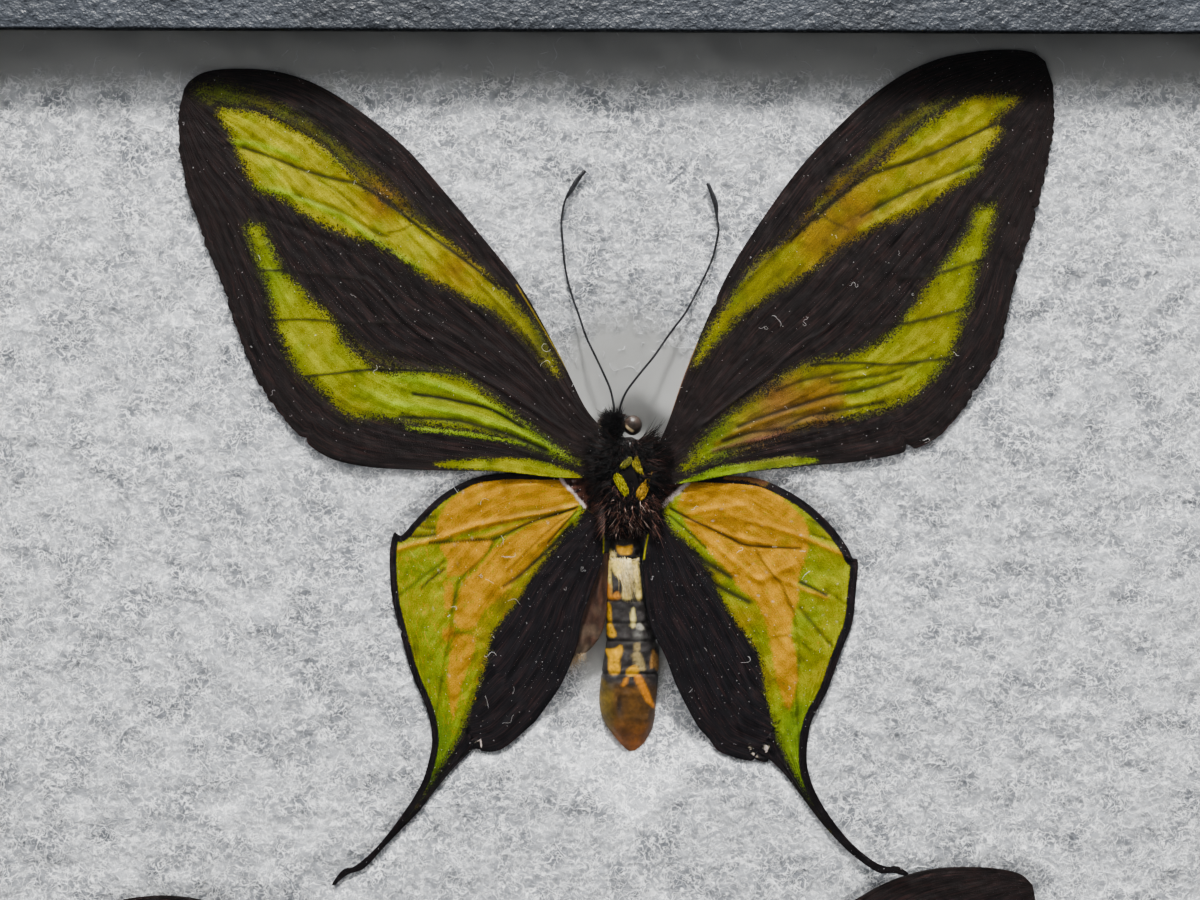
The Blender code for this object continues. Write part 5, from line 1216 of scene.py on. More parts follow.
def battingMaterial():
    material, tree, shader = newMaterial("white fibre batting")
    place = objectPlace(tree)
    flat = scaledBy(tree, place, (1, 1, 0.4))
    fibrous = valuesOf(tree, "fibrous")
    threads = useGroup(tree, threadGroup, {"Vector": flat, "Width": 0.034}).outputs["Threads"]
    cloud = stretch(tree, noiseOf(tree, place, 270, 4.0), 0.34, 0.66, 0.0, 1.0)
    base = blendOf(tree, cloud, paint(118, 121, 127), paint(190, 192, 197))
    base = blendOf(tree, threads, base, paint(252, 252, 254))
    # painted shade: in the lip's shadow and round the bodies the pad is one smooth grey without threads, as the fibres
    # look in shade
    base = blendOf(tree, fibrous, paint(186, 186, 184), base)
    tree.links.new(base, shader.inputs["Base Color"])
    shader.inputs["Roughness"].default_value = 0.9
    shader.inputs["Specular IOR Level"].default_value = 0.2
    deep = noiseOf(tree, place, 620, 3.0)
    tree.links.new(bumpOf(tree, deep, 0.5 * mm, maths(tree, "MULTIPLY", fibrous, 0.9)), shader.inputs["Normal"])
    return material


def heightAt(x, y, surface, spots):
    # the surface's height at flat places, from the four corners of the cell round each
    i = np.clip((spots[..., 1] - y[0]) / (y[1] - y[0]), 0, len(y) - 1.001)
    j = np.clip((spots[..., 0] - x[0]) / (x[1] - x[0]), 0, len(x) - 1.001)
    row, column = i.astype(int), j.astype(int)
    v, u = i - row, j - column
    near = surface[row, column] * (1 - u) + surface[row, column + 1] * u
    far = surface[row + 1, column] * (1 - u) + surface[row + 1, column + 1] * u
    return near * (1 - v) + far * v


def fibrousAt(spots):
    # 0 at the edge of the window and round the bodies, painted smooth and threadless for the shade
    # there (the lip's shadow and the shaded hollows), and 1 from some distance on
    lip = np.array(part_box("lid")[1][:2]) - lidFacts["lipWidth"]
    gap = (lip - np.abs(spots)).min(-1) / mm
    near, far = battingFacts["pressed"]
    ragged = 0.8 * ripples(spots.reshape(-1, 2) / mm, 3.0, 34).reshape(gap.shape)
    fibrous = np.clip((gap + ragged - near) / (far - near), 0, 1)
    for butterfly in butterflies.values():
        away = spots / mm - np.array(butterfly["place"])
        for middle, half in pressedOvals:
            oval = np.hypot(*np.moveaxis((away - np.array(middle)) / np.array(half), -1, 0))
            fibrous = np.minimum(fibrous, np.clip((oval - 0.85 + 0.1 * ragged) / 0.4, 0, 1))
    return fibrous


def batting():
    x, y, surface = battingSurface()
    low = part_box("batting")[0]
    rows, columns = surface.shape
    gridX, gridY = np.meshgrid(x, y)
    top = np.stack([gridX, gridY, surface], -1).reshape(-1, 3)
    index = np.arange(rows * columns).reshape(rows, columns)
    rim = np.concatenate([index[0, :-1], index[:-1, -1], index[-1, :0:-1], index[:0:-1, 0]])
    foot = top[rim].copy()
    foot[:, 2] = low[2]
    lowRim = len(top) + np.arange(len(rim))
    middle = np.array([[(x[0] + x[-1]) / 2, (y[0] + y[-1]) / 2, low[2]]])
    quads = gridFaces(rows, columns)
    side = np.stack([rim, lowRim, np.roll(lowRim, -1), np.roll(rim, -1)], -1)
    under = np.stack([lowRim, np.full(len(rim), len(top) + len(rim)), np.roll(lowRim, -1)], -1)
    mesh = meshFrom("batting_pad", np.concatenate([top, foot, middle]), [quads, side, under])
    addValues(mesh, "fibrous", np.concatenate([fibrousAt(top[:, :2]), np.zeros(len(rim) + 1)]))
    pad = addPiece(mesh, battingMaterial(), "batting", "batting")
    finish = threadMaterial("white loose thread", (214, 217, 222), (254, 254, 255), 0.3)
    for number, (count, steps, shortest, further) in enumerate(battingFacts["threads"], start=1):
        draw = np.random.default_rng(40 + number)
        centres = np.stack([draw.uniform(x[2], x[-3], count), draw.uniform(y[2], y[-3], count)], -1)
        lengths = (shortest + further * draw.uniform(0, 1, count) ** 2) * mm
        flat = curledPaths(centres, draw, steps, lengths, 1.2)
        flat = np.clip(flat, [x[1], y[1]], [x[-2], y[-2]])
        # fewer threads where the pad is drawn smooth for the shade
        held = fibrousAt(flat.mean(1)) > draw.uniform(-0.06, 0.5, count)
        flat, count = flat[held], int(held.sum())
        along = np.linspace(0, 1, steps)
        rise = draw.uniform(-0.02, 0.3, (count, 1)) + 0.2 * np.sin(
            2 * np.pi * (along * draw.uniform(0.5, 1.5, (count, 1)) + draw.uniform(0, 1, (count, 1))))
        height = heightAt(x, y, surface, flat) + rise * mm
        paths = np.concatenate([flat, height[..., None]], -1)
        thick = battingFacts["threadRadius"] * draw.uniform(0.6, 1.25, (count, 1))
        radii = thick * (0.35 + 0.65 * np.sin(np.pi * np.clip(along, 0.04, 0.96)) ** 0.5)
        points, faces = tubes(paths, radii, 3)
        mesh = meshFrom(f"batting_threads_{number}", points, faces)
        tone = draw.uniform(0.25, 1.0, count)
        addValues(mesh, "tone", np.repeat(tone, steps * 3))
        addPiece(mesh, finish, "batting", "batting")
    return x, y, surface


battingX, battingY, battingTop = batting()
print("batting and its threads")


# Bodies: thorax, head, eyes, antennae, abdomen and hairs

bodyFacts = {
    "squareness": 2.5,
    "thorax": [(6.1, -0.8, 1.3, 1.6, 14.5), (5.2, -0.5, 2.7, 2.8, 14.2), (3.2, -0.2, 3.4, 3.7, 13.9),
               (0.6, 0.0, 3.6, 4.1, 13.7), (-2.0, 0.0, 3.6, 4.1, 13.6), (-4.5, 0.0, 3.2, 3.7, 13.5),
               (-6.3, -0.2, 2.4, 2.9, 13.4), (-7.3, -0.4, 1.5, 1.9, 13.4)],
    "head": [(9.4, -1.6, 0.8, 1.0, 14.4), (8.8, -1.8, 1.15, 1.7, 14.4), (7.9, -1.9, 1.25, 2.0, 14.4),
             (7.0, -1.8, 1.2, 1.7, 14.4), (6.4, -1.6, 0.7, 0.8, 14.4)],
    "abdomen": [(-7.8, -0.4, 1.4, 1.8, 13.4), (-9.2, -0.4, 2.2, 2.5, 13.3), (-12.0, -0.5, 2.55, 2.8, 13.1),
                (-16.0, -0.4, 2.8, 3.0, 12.8), (-20.0, 0.2, 3.3, 3.0, 12.5), (-24.0, 0.6, 3.8, 3.0, 12.2),
                (-28.0, 0.3, 4.1, 3.0, 11.9), (-32.0, 0.0, 4.1, 2.9, 11.7), (-34.6, 0.2, 3.7, 2.6, 11.6),
                (-36.6, 0.6, 2.75, 2.1, 11.5), (-38.2, 0.8, 1.65, 1.4, 11.5), (-39.4, 0.8, 0.7, 0.6, 11.5)],
    "rings": [-9.6, -11.3, -17.2, -20.4, -23.0, -27.7],
    "eyeCentre": (-1.35, 7.8, 14.6), "eyeOffset": 1.9, "eyeRadius": 1.38,
    "hairTop": 18.02,  # just under the glass
}
abdomenMarks = [
    ([(-1.7, -9.3), (-0.6, -9.5), (0.5, -9.2), (0.5, -10.3), (0.1, -10.6), (-0.9, -10.6), (-1.5, -10.3)],
     (222, 160, 0), 0.14),
    ([(-2.7, -9.8), (-1.6, -11.1), (-0.8, -11.5), (1.1, -11.5), (1.2, -10.9), (1.5, -12.6), (1.9, -16.9), (1.2, -16.9),
      (0.9, -14.3), (0.5, -13.7), (0.4, -16.9), (-0.8, -16.9), (-0.8, -14.6), (-1.9, -13.5), (-2.5, -12.6),
      (-2.4, -16.2), (-3.2, -17.1), (-3.2, -13.7)], (236, 208, 112), 0.16),
    ([(-3.1, -14.8), (-2.5, -15.0), (-2.3, -16.4), (-1.6, -15.9), (-1.2, -16.9), (-3.1, -17.1)], (206, 132, 36), 0.2),
    ([(-3.2, -17.9), (-2.5, -17.9), (-2.3, -20.6), (-1.7, -21.9), (-1.9, -22.4), (-2.5, -22.5), (-3.2, -21.6)],
     (210, 154, 0), 0.14),
    ([(0.5, -18.5), (0.9, -18.4), (1.0, -20.8), (0.4, -20.8)], (232, 214, 130), 0.14),
    ([(1.2, -20.6), (1.7, -20.4), (2.3, -21.3), (1.4, -21.3)], (170, 166, 150), 0.14),
    ([(0.9, -21.7), (1.9, -21.6), (2.1, -22.9), (1.1, -23.0)], (96, 94, 90), 0.25),
    ([(-3.4, -24.3), (-2.0, -24.1), (-1.0, -23.5), (-0.8, -24.4), (-1.2, -25.7), (-1.2, -27.6), (-2.7, -27.6),
      (-2.8, -25.3)], (214, 156, 0), 0.14),
    ([(1.0, -23.3), (1.6, -23.3), (1.7, -24.3), (1.0, -24.4)], (150, 130, 84), 0.14),
    ([(0.7, -24.8), (1.7, -24.7), (2.5, -27.0), (1.4, -27.1), (1.1, -26.3), (0.7, -25.6)], (158, 138, 90), 0.18),
    ([(-0.3, -27.3), (0.5, -26.6), (1.0, -26.4), (1.5, -26.9), (1.3, -27.9), (0.0, -27.9)], (214, 156, 0), 0.12),
    ([(0.9, -28.2), (1.8, -27.9), (2.9, -30.1), (3.9, -32.6), (3.2, -32.3), (2.5, -31.4), (1.8, -29.9)],
     (196, 120, 4), 0.16),
    ([(-0.9, -29.3), (-0.4, -28.2), (0.0, -28.5), (-0.5, -29.4)], (196, 122, 0), 0.12),
    ([(3.6, -24.2), (4.6, -25.9), (4.9, -27.5), (4.3, -27.5), (3.8, -26.8), (3.2, -26.9), (3.3, -25.3)],
     (186, 134, 64), 0.16),
]
legs = [
    [(1.2, 2.6, 11.2), (3.4, 3.6, 9.6), (4.2, 1.2, 8.9), (2.6, -0.4, 8.7)],
    [(1.3, 0.2, 10.6), (3.8, 0.2, 9.2), (4.6, -2.8, 8.6), (3.0, -4.6, 8.5)],
    [(1.2, -2.4, 10.6), (3.4, -3.4, 9.2), (4.0, -6.4, 8.8), (2.4, -7.8, 8.9)],
]
# leaf-shaped patches of scales on the thorax: outline, colour, and the way that the scales point
scaleTufts = [
    ([(0.2, 3.4), (0.5, 2.7), (-0.3, 1.9), (-1.1, 1.9), (-0.8, 2.7)], (112, 110, 20), (-0.6, -0.8)),
    ([(1.2, 3.5), (2.0, 1.1), (1.4, 1.2), (0.4, 2.1), (0.7, 3.0)], (146, 132, 20), (0.2, -1.0)),
    ([(-2.0, 1.0), (-1.2, 0.8), (-0.3, -0.6), (-0.1, -1.7), (-0.8, -2.1), (-1.7, -0.9), (-2.2, 0.2)], (168, 162, 0),
     (0.4, -0.9)),
    ([(3.3, 1.2), (3.3, 0.3), (2.5, -2.1), (1.6, -2.6), (1.1, -1.5), (2.1, -0.2)], (176, 136, 8), (-0.45, -0.9)),
]
clearings = [
    [(0.0, 2.2), (1.3, 1.1), (0.6, -0.9), (-0.4, -0.5), (-1.5, 1.3)],  # shiny skin between the patches
    [(-0.9, 8.6), (0.6, 9.3), (2.1, 8.6), (2.1, 6.2), (0.8, 5.7), (-0.5, 6.0), (-1.2, 7.2)],  # the right eye
]


def loft(sections, stations, sides):
    # boxy ovals along the body: sections give place, shift, half width, half height and middle
    rows = curveThrough(sections, stations)
    angle = 2 * np.pi * np.arange(sides) / sides
    power = 2 / bodyFacts["squareness"]
    across = np.sign(np.cos(angle)) * np.abs(np.cos(angle)) ** power
    upward = np.sign(np.sin(angle)) * np.abs(np.sin(angle)) ** power
    place, shift, width, height, middle = (rows[:, i:i + 1] for i in range(5))
    return np.stack([shift + width * across, np.broadcast_to(place, (stations, sides)),
                     middle + height * upward], -1)


def loftMesh(name, butterfly, grid, extra=None):
    # the grid's rings joined and closed by a fan at each end
    stations, sides = grid.shape[:2]
    ends = np.stack([grid[0].mean(0), grid[-1].mean(0)])
    points = np.concatenate([grid.reshape(-1, 3), ends])
    quads = gridFaces(stations, sides, closed=True)
    ring = np.arange(sides)
    first, last = np.full(sides, len(points) - 2), np.full(sides, len(points) - 1)
    fans = np.concatenate([np.stack([first, np.roll(ring, -1), ring], -1),
                           np.stack([last, ring, np.roll(ring, -1)], -1) + np.array([0, 1, 1]) * (stations - 1) * sides])
    faces = [quads, fans]
    if extra is not None:
        morePoints, moreFaces = extra
        faces += [part + len(points) for part in moreFaces]
        points = np.concatenate([points, morePoints])
    return meshFrom(name, settle(butterfly, points), faces), len(points)


def hairMaterial(name, rough):
    material, tree, shader = newMaterial(name)
    place = objectPlace(tree)
    tone = stretch(tree, noiseOf(tree, place, 2500, 2.0), 0.3, 0.7, 0.7, 1.35)
    base = blendOf(tree, 1.0, valuesOf(tree, "tint", "Color"), tone, "MULTIPLY")
    tree.links.new(base, shader.inputs["Base Color"])
    tree.links.new(stretch(tree, tone, 0.7, 1.35, rough, rough - 0.14), shader.inputs["Roughness"])
    shader.inputs["Specular IOR Level"].default_value = 0.12
    return material


def hairs(name, butterfly, roots, ways, bends, lengths, radius, colours, finish, slot, node, steps=4,
          lowest=(99.0, 0.0)):
    # each hair runs from its root along its way, bends as the square of the distance, and stays
    # under the glass and, beside the body, above the wings
    along = np.linspace(0, 1, steps)[None, :, None]
    paths = roots[:, None] + lengths[:, None, None] * (ways[:, None] * along + bends[:, None] * along ** 2)
    beside = np.abs(paths[..., 0]) > lowest[0]
    paths[..., 2] = np.clip(paths[..., 2], np.where(beside, lowest[1], 0.0), bodyFacts["hairTop"])
    radii = radius * (1.0 - 0.85 * along[..., 0] ** 1.5) * np.ones((len(roots), 1))
    points, faces = tubes(paths, radii, 3)
    mesh = meshFrom(name, settle(butterfly, points), faces)
    addValues(mesh, "tint", np.repeat(colours, steps * 3, axis=0))
    return addPiece(mesh, finish, slot, node)


def bodyMaterial(name, rough, bumpScale):
    material, tree, shader = newMaterial(name)
    place = objectPlace(tree)
    tone = stretch(tree, noiseOf(tree, place, 2200, 3.0), 0.3, 0.7, 0.72, 1.3)
    base = blendOf(tree, 1.0, valuesOf(tree, "tint", "Color"), tone, "MULTIPLY")
    tree.links.new(base, shader.inputs["Base Color"])
    tree.links.new(stretch(tree, noiseOf(tree, place, 700, 2.0), 0.3, 0.7, rough, rough + 0.2), shader.inputs["Roughness"])
    shader.inputs["Specular IOR Level"].default_value = 0.28
    tree.links.new(bumpOf(tree, noiseOf(tree, place, bumpScale, 3.0), 0.08 * mm, 0.6), shader.inputs["Normal"])
    return material


furFinish = hairMaterial("dark brown hair", 0.55)
skinFinish = bodyMaterial("black body wall", 0.24, 1500)
abdomenFinish = bodyMaterial("banded abdomen wall", 0.36, 1100)
foldFinish = bodyMaterial("brown wing membrane", 0.42, 1300)


def abdomenPiece(label, stations, sides):
    # the loft is drawn in at its rings, and its colour is worked out from marks seen from above
    butterfly = butterflies[label]
    grid = loft(bodyFacts["abdomen"], stations, sides)
    place = grid[..., 1]
    waist = sum(np.exp(-((place - ring) / 0.22) ** 2) for ring in bodyFacts["rings"])
    middle = grid.mean(1, keepdims=True)
    grid = middle + (grid - middle) * (1 - 0.045 * waist[..., None])
    spots = np.stack([grid[..., 0], place], -1).reshape(-1, 2)
    dents = (0.05 * ripples(spots, 2.4, 51) + 0.03 * ripples(spots, 1.0, 52)).reshape(place.shape)
    dents = dents - 0.5 * np.exp(-((grid[..., 0] + 1.2) / 0.5) ** 2) * np.exp(-((place + 32.5) / 1.6) ** 2)
    grid[..., 2] += np.where(grid[..., 2] > middle[..., 2], dents, 0)
    mesh, count = loftMesh(f"{label}_abdomen_ringed", butterfly, grid)
    flat = np.concatenate([spots, [[0.0, -7.8], [0.7, -39.4]]])
    tint = np.tile(linear(34, 31, 30), (count, 1))
    grey = np.clip(0.4 + 0.6 * ripples(flat, 1.3, 53), 0, 1)[:, None]
    tint += (linear(78, 74, 74) - tint) * grey * 0.6
    pitted = np.clip(1.2 * ripples(flat, 0.5, 56) - 0.9, 0, 1)[:, None] * (flat[:, 1:] > -28)
    tip = np.clip((-28.6 - flat[:, 1] + 0.5 * ripples(flat, 2.0, 54)) / 1.6, 0, 1)[:, None]
    amber = linear(84, 55, 16) + (linear(120, 66, 14) - linear(84, 55, 16)) * np.clip((-34 - flat[:, 1:]) / 4, 0, 1)
    amber = amber + (linear(98, 80, 16) - amber) * np.clip((-1.6 - flat[:, :1]) / 1.2, 0, 1) * 0.8
    amber = amber * (1 + 0.22 * ripples(flat, 2.6, 55)[:, None])
    tint += (amber - tint) * tip
    dark = np.exp(-((flat[:, 0] + 1.2) / 0.42) ** 2 - ((flat[:, 1] + 32.4) / 1.3) ** 2)
    dark = dark + 0.55 * np.exp(-((flat[:, 0] - 3.4) / 0.7) ** 2) * (flat[:, 1] < -29)
    tint += (linear(40, 34, 32) - tint) * np.clip(dark, 0, 0.9)[:, None]
    rims = sum(np.exp(-((flat[:, 1] - ring) / 0.2) ** 2) for ring in (-11.1, -17.3))
    for outline, colour, soft in abdomenMarks:
        near = coverOf(outline, flat, soft)[:, None]
        tint += (linear(*colour) - tint) * near
    tint += (linear(40, 30, 26) - tint) * pitted * 0.7
    tint += (linear(24, 21, 20) - tint) * np.clip(rims, 0, 1)[:, None] * 0.9
    front = np.clip((flat[:, 1] + 9.6) / 0.8, 0, 1)[:, None]
    tint += (linear(36, 28, 22) - tint) * front
    addValues(mesh, "tint", tint)
    addPiece(mesh, abdomenFinish, "abdomen", f"{label}_abdomen")
    draw = np.random.default_rng(60 + butterfly["seed"])
    count = 900
    root = np.stack([draw.uniform(-2.7, 1.6, count), draw.uniform(-13.6, -10.9, count)], -1)
    root[:, 1] += np.where(root[:, 0] < -1.7, draw.uniform(0, 1.0, count), 0)
    height = 13.05 + 2.85 * np.sqrt(np.clip(1 - ((root[:, 0] + 0.5) / 2.9) ** 2, 0.1, 1))
    aim = np.stack([-0.24 * (root[:, 0] - 0.1) + draw.normal(0, 0.12, count), -np.ones(count),
                    draw.uniform(-0.03, 0.09, count)], -1)
    bend = np.stack([draw.normal(0, 0.08, count), np.zeros(count), draw.uniform(-0.1, 0.02, count)], -1)
    pale = draw.uniform(0, 1, (count, 1))
    colours = linear(246, 232, 186) * (1 - pale) + linear(232, 204, 120) * pale
    colours = np.where(draw.uniform(0, 1, (count, 1)) < 0.12, linear(160, 130, 90), colours)
    hairs(f"{label}_abdomen_tuft", butterfly, np.column_stack([root, height]), unit(aim), bend,
          draw.uniform(1.4, 4.4, count), 0.038, colours, furFinish, "abdomen", f"{label}_abdomen", 5)


def hairColours(draw, rear):
    # black, brown and a few copper and pale hairs, with more brown where rear is high
    kind = draw.uniform(0, 1, (len(rear), 1)) + 0.3 * rear[:, None]
    colours = np.where(kind < 0.86, linear(11, 9, 9), np.where(kind < 1.08, linear(52, 32, 28), linear(112, 74, 62)))
    colours = np.where(kind > 1.24, linear(206, 176, 162), colours)
    return colours * draw.uniform(0.5, 1.5, (len(rear), 1))


def furOver(name, butterfly, grid, count, lengths, node, seed, radius):
    # hairs rooted on random places of a loft's upper part, leaning back along the body
    draw = np.random.default_rng(seed)
    stations, sides = grid.shape[:2]
    i = draw.integers(1, stations - 1, count)
    k = np.rint(sides * draw.uniform(-0.04, 0.54, count)).astype(int) % sides
    roots = grid[i, k]
    middle = grid[i].mean(1)
    out = unit((roots - middle) * np.array([1.0, 0.0, 1.0]))
    ways = unit(out * draw.uniform(0.4, 1.0, (count, 1)) + np.array([0, -0.45, 0.0]) + draw.normal(0, 0.38, (count, 3)))
    bends = draw.normal(0, 0.25, (count, 3)) + np.array([0, -0.2, -0.15])
    size = draw.uniform(*lengths, count)
    colours = hairColours(draw, np.clip((1.5 - roots[:, 1]) / 5, 0, 1))
    clear = np.zeros(count)
    for outline in clearings + [tuft[0] for tuft in scaleTufts]:
        for place in (roots[:, :2], roots[:, :2] + ways[:, :2] * size[:, None]):
            clear = np.maximum(clear, coverOf(outline, place, 0.2))
    keep = clear < draw.uniform(0.2, 0.7, count)
    hairs(name, butterfly, roots[keep], ways[keep], bends[keep], size[keep], radius, colours[keep], furFinish, "fur",
          node)


def topOf(sections, spots):
    # height of a loft's top over flat places: its middle and the boxy oval's height there
    rows = np.array(sections)[::-1]
    shift, width, height, middle = (np.interp(spots[:, 1], rows[:, 0], rows[:, i]) for i in (1, 2, 3, 4))
    power = bodyFacts["squareness"]
    share = np.clip(np.abs(spots[:, 0] - shift) / width, 0, 1) ** power
    return middle + height * (1 - share) ** (1 / power)


def shoulderFur(label, count):
    # long hairs from the sides of the thorax out over the wing roots
    butterfly = butterflies[label]
    draw = np.random.default_rng(75 + butterfly["seed"])
    side = np.where(draw.uniform(0, 1, count) < 0.5, -1.0, 1.0)
    y = np.where(draw.uniform(0, 1, count) < 0.66, draw.uniform(-0.4, 5.8, count), draw.uniform(-6.4, -0.4, count))
    x = side * draw.uniform(1.8, 3.3, count) * np.where(y > 4.5, 0.72, 1.0)
    roots = np.column_stack([x, y, topOf(bodyFacts["thorax"], np.stack([x, y], -1))])
    ways = np.stack([side, draw.normal(-0.25, 0.42, count) + 0.1 * y, draw.normal(0.0, 0.1, count)], -1)
    bends = np.stack([np.zeros(count), draw.normal(-0.2, 0.3, count), draw.uniform(-0.15, 0.0, count)], -1)
    front = np.clip((y + 2) / 2, 0, 1)
    lengths = draw.uniform(1.2, 2.6, count) + front * draw.uniform(0.2, 1.8, count)
    clear = np.zeros(count)
    for outline, colour, way in scaleTufts:
        clear = np.maximum(clear, coverOf(outline, roots[:, :2], 0.2))
    keep = clear < 0.5
    hairs(f"{label}_shoulder_fur", butterfly, roots[keep], unit(ways)[keep], bends[keep], lengths[keep], 0.075,
          hairColours(draw, 0.8 * (1 - front))[keep], furFinish, "fur", f"{label}_thorax", lowest=(3.3, 17.0))


def thoraxScales(label):
    # flat scales packed into the leaf-shaped patches, all of one patch pointing the same way
    butterfly = butterflies[label]
    draw = np.random.default_rng(78)
    roots, ways, colours = [], [], []
    for outline, colour, way in scaleTufts:
        spots = draw.uniform(np.min(outline, 0), np.max(outline, 0), (700, 2))
        spots = spots[coverOf(outline, spots, 0.08) > 0.6]
        height = np.clip(topOf(bodyFacts["thorax"], spots) + 0.42, 17.3, 17.9) + draw.uniform(-0.05, 0.05, len(spots))
        roots.append(np.column_stack([spots, height]))
        ways.append(np.column_stack([np.tile(way, (len(spots), 1)), np.zeros(len(spots))]) + draw.normal(0, 0.1, (len(spots), 3)))
        tone = np.where(draw.uniform(0, 1, (len(spots), 1)) < 0.3, 0.2, draw.uniform(0.5, 1.3, (len(spots), 1)))
        colours.append(linear(*colour) * tone)
    roots, ways, colours = (np.concatenate(part) for part in (roots, ways, colours))
    hairs(f"{label}_thorax_scales", butterfly, roots, unit(ways), np.zeros((len(roots), 3)),
          draw.uniform(0.3, 0.55, len(roots)), 0.06, colours, furFinish, "fur", f"{label}_thorax")


def thoraxPiece(label, hairCount):
    butterfly = butterflies[label]
    grid = loft(bodyFacts["thorax"], 90, 64)
    paths, radii = [], []
    along = np.linspace(0, 1, 33)
    for side in (-1, 1):
        for points in legs:
            paths.append(curveThrough([(side * x, y, z) for x, y, z in points], 33))
            joints = 0.18 * np.exp(-((along[:, None] - np.array([0.33, 0.66, 0.8, 0.9])) / 0.03) ** 2).sum(1)
            radii.append(0.28 * (1.2 - 0.65 * along + joints))
    legPoints, legFaces = tubes(np.array(paths), np.array(radii), 10)
    mesh, count = loftMesh(f"{label}_thorax_body", butterfly, grid, (legPoints, legFaces))
    addValues(mesh, "tint", np.tile(linear(14, 11, 11), (count, 1)))
    addPiece(mesh, skinFinish, "fur", f"{label}_thorax")
    furOver(f"{label}_thorax_fur", butterfly, grid, hairCount, (0.7, 1.8), f"{label}_thorax", 70 + butterfly["seed"],
            0.062)
    shoulderFur(label, hairCount * 3 // 5)
    thoraxScales(label)


def crest(label, count):
    # black spikes that stand from the head's top, over the left eye and forwards
    butterfly = butterflies[label]
    draw = np.random.default_rng(85 + butterfly["seed"])
    x, y = draw.uniform(-3.1, -1.15, count), draw.uniform(6.3, 9.2, count)
    roots = np.column_stack([x, y, np.clip(topOf(bodyFacts["head"], np.stack([x, y], -1)), 15.9, 17)])
    ways = np.stack([(x + 1.4) * 0.75 + draw.normal(0, 0.3, count), (y - 7.4) * 0.55 + draw.normal(0, 0.3, count),
                     draw.uniform(0.15, 0.6, count)], -1)
    ways[:, 0] = np.where(x > -1.6, np.minimum(ways[:, 0], 0.15), ways[:, 0])
    bends = draw.normal(0, 0.12, (count, 3)) + np.array([0, 0, -0.15])
    colours = linear(13, 11, 12) * draw.uniform(0.7, 1.8, (count, 1))
    hairs(f"{label}_head_crest", butterfly, roots, unit(ways), bends, draw.uniform(0.8, 1.9, count), 0.07, colours,
          furFinish, "fur", f"{label}_head")


def headPiece(label, hairCount):
    butterfly = butterflies[label]
    grid = loft(bodyFacts["head"], 50, 48)
    turn = np.pi * (0.5 + 1.6 * np.linspace(0, 1, 40))
    radius = 0.75 * (1.25 - 0.5 * np.linspace(0, 1, 40))
    coil = np.stack([np.full(40, -1.3), 8.5 + radius * np.cos(turn), 12.2 + radius * np.sin(turn)], -1)
    coilPoints, coilFaces = tubes(coil[None], np.full((1, 40), 0.2), 10)
    mesh, count = loftMesh(f"{label}_head_body", butterfly, grid, (coilPoints, coilFaces))
    addValues(mesh, "tint", np.tile(linear(26, 22, 22), (count, 1)))
    addPiece(mesh, skinFinish, "fur", f"{label}_head")
    furOver(f"{label}_head_fur", butterfly, grid, hairCount, (0.4, 1.0), f"{label}_head", 80 + butterfly["seed"], 0.05)
    crest(label, hairCount // 2)


def foldPiece(label):
    # the fold sheet as a thin closed shell, dark red-brown above and paler below, and its loose hairs
    butterfly = butterflies[label]
    spots, top, share, across = foldSheet(butterfly)
    rows, columns = 61, 25
    pick = np.arange(rows * columns).reshape(rows, columns)[::2, ::2].ravel()
    under = top[pick] - np.array([0, 0, foldFacts["thickness"] * mm])
    mesh = meshFrom(f"{label}_hindwing_fold", np.concatenate([top, under]), list(shellFaces(rows, columns)))
    pale = np.clip((share - 0.5) / 0.5 + 0.35 * ripples(spots, 2.5, 96), 0, 1)[:, None]
    tint = linear(60, 38, 28) + (linear(94, 78, 63) - linear(60, 38, 28)) * pale
    tint = tint * (1 + 0.35 * ripples(spots * np.array([1.0, 0.25]), 0.8, 97)[:, None])
    tint = np.clip(tint, 0, 1)
    addValues(mesh, "tint", np.concatenate([tint, tint[pick]]))
    addPiece(mesh, foldFinish, "hindwing", f"{label}_hindwing_left")
    draw = np.random.default_rng(98)
    i = rows * columns - 1 - draw.integers(0, 8 * columns, 170)
    place = np.column_stack([spots[i], top[i, 2] / mm + 0.05])
    aim = unit(np.stack([draw.normal(-0.2, 0.5, 170), -np.ones(170), draw.uniform(0, 0.2, 170)], -1))
    hairs(f"{label}_fold_hairs", butterfly, place, aim, draw.normal(0, 0.3, (170, 3)), draw.uniform(0.6, 1.9, 170), 0.03,
          np.tile(linear(176, 152, 118), (170, 1)), furFinish, "hindwing", f"{label}_hindwing_left")


def eyeMaterial():
    material, tree, shader = newMaterial("brown faceted eye")
    place = objectPlace(tree)
    facets = addNode(tree, "TexVoronoi", {"Vector": place, "Scale": 9000.0}).outputs["Distance"]
    cloud = stretch(tree, noiseOf(tree, place, 1200, 3.0), 0.35, 0.65)
    base = blendOf(tree, cloud, paint(26, 20, 18), paint(58, 44, 37))
    base = blendOf(tree, valuesOf(tree, "pale"), base, paint(240, 208, 158))
    tree.links.new(base, shader.inputs["Base Color"])
    tree.links.new(stretch(tree, cloud, 0, 1, 0.3, 0.42), shader.inputs["Roughness"])
    tree.links.new(bumpOf(tree, facets, 0.01 * mm, 0.5), shader.inputs["Normal"])
    shader.inputs["Coat Weight"].default_value = 0.25
    return material


eyeFinish = eyeMaterial()


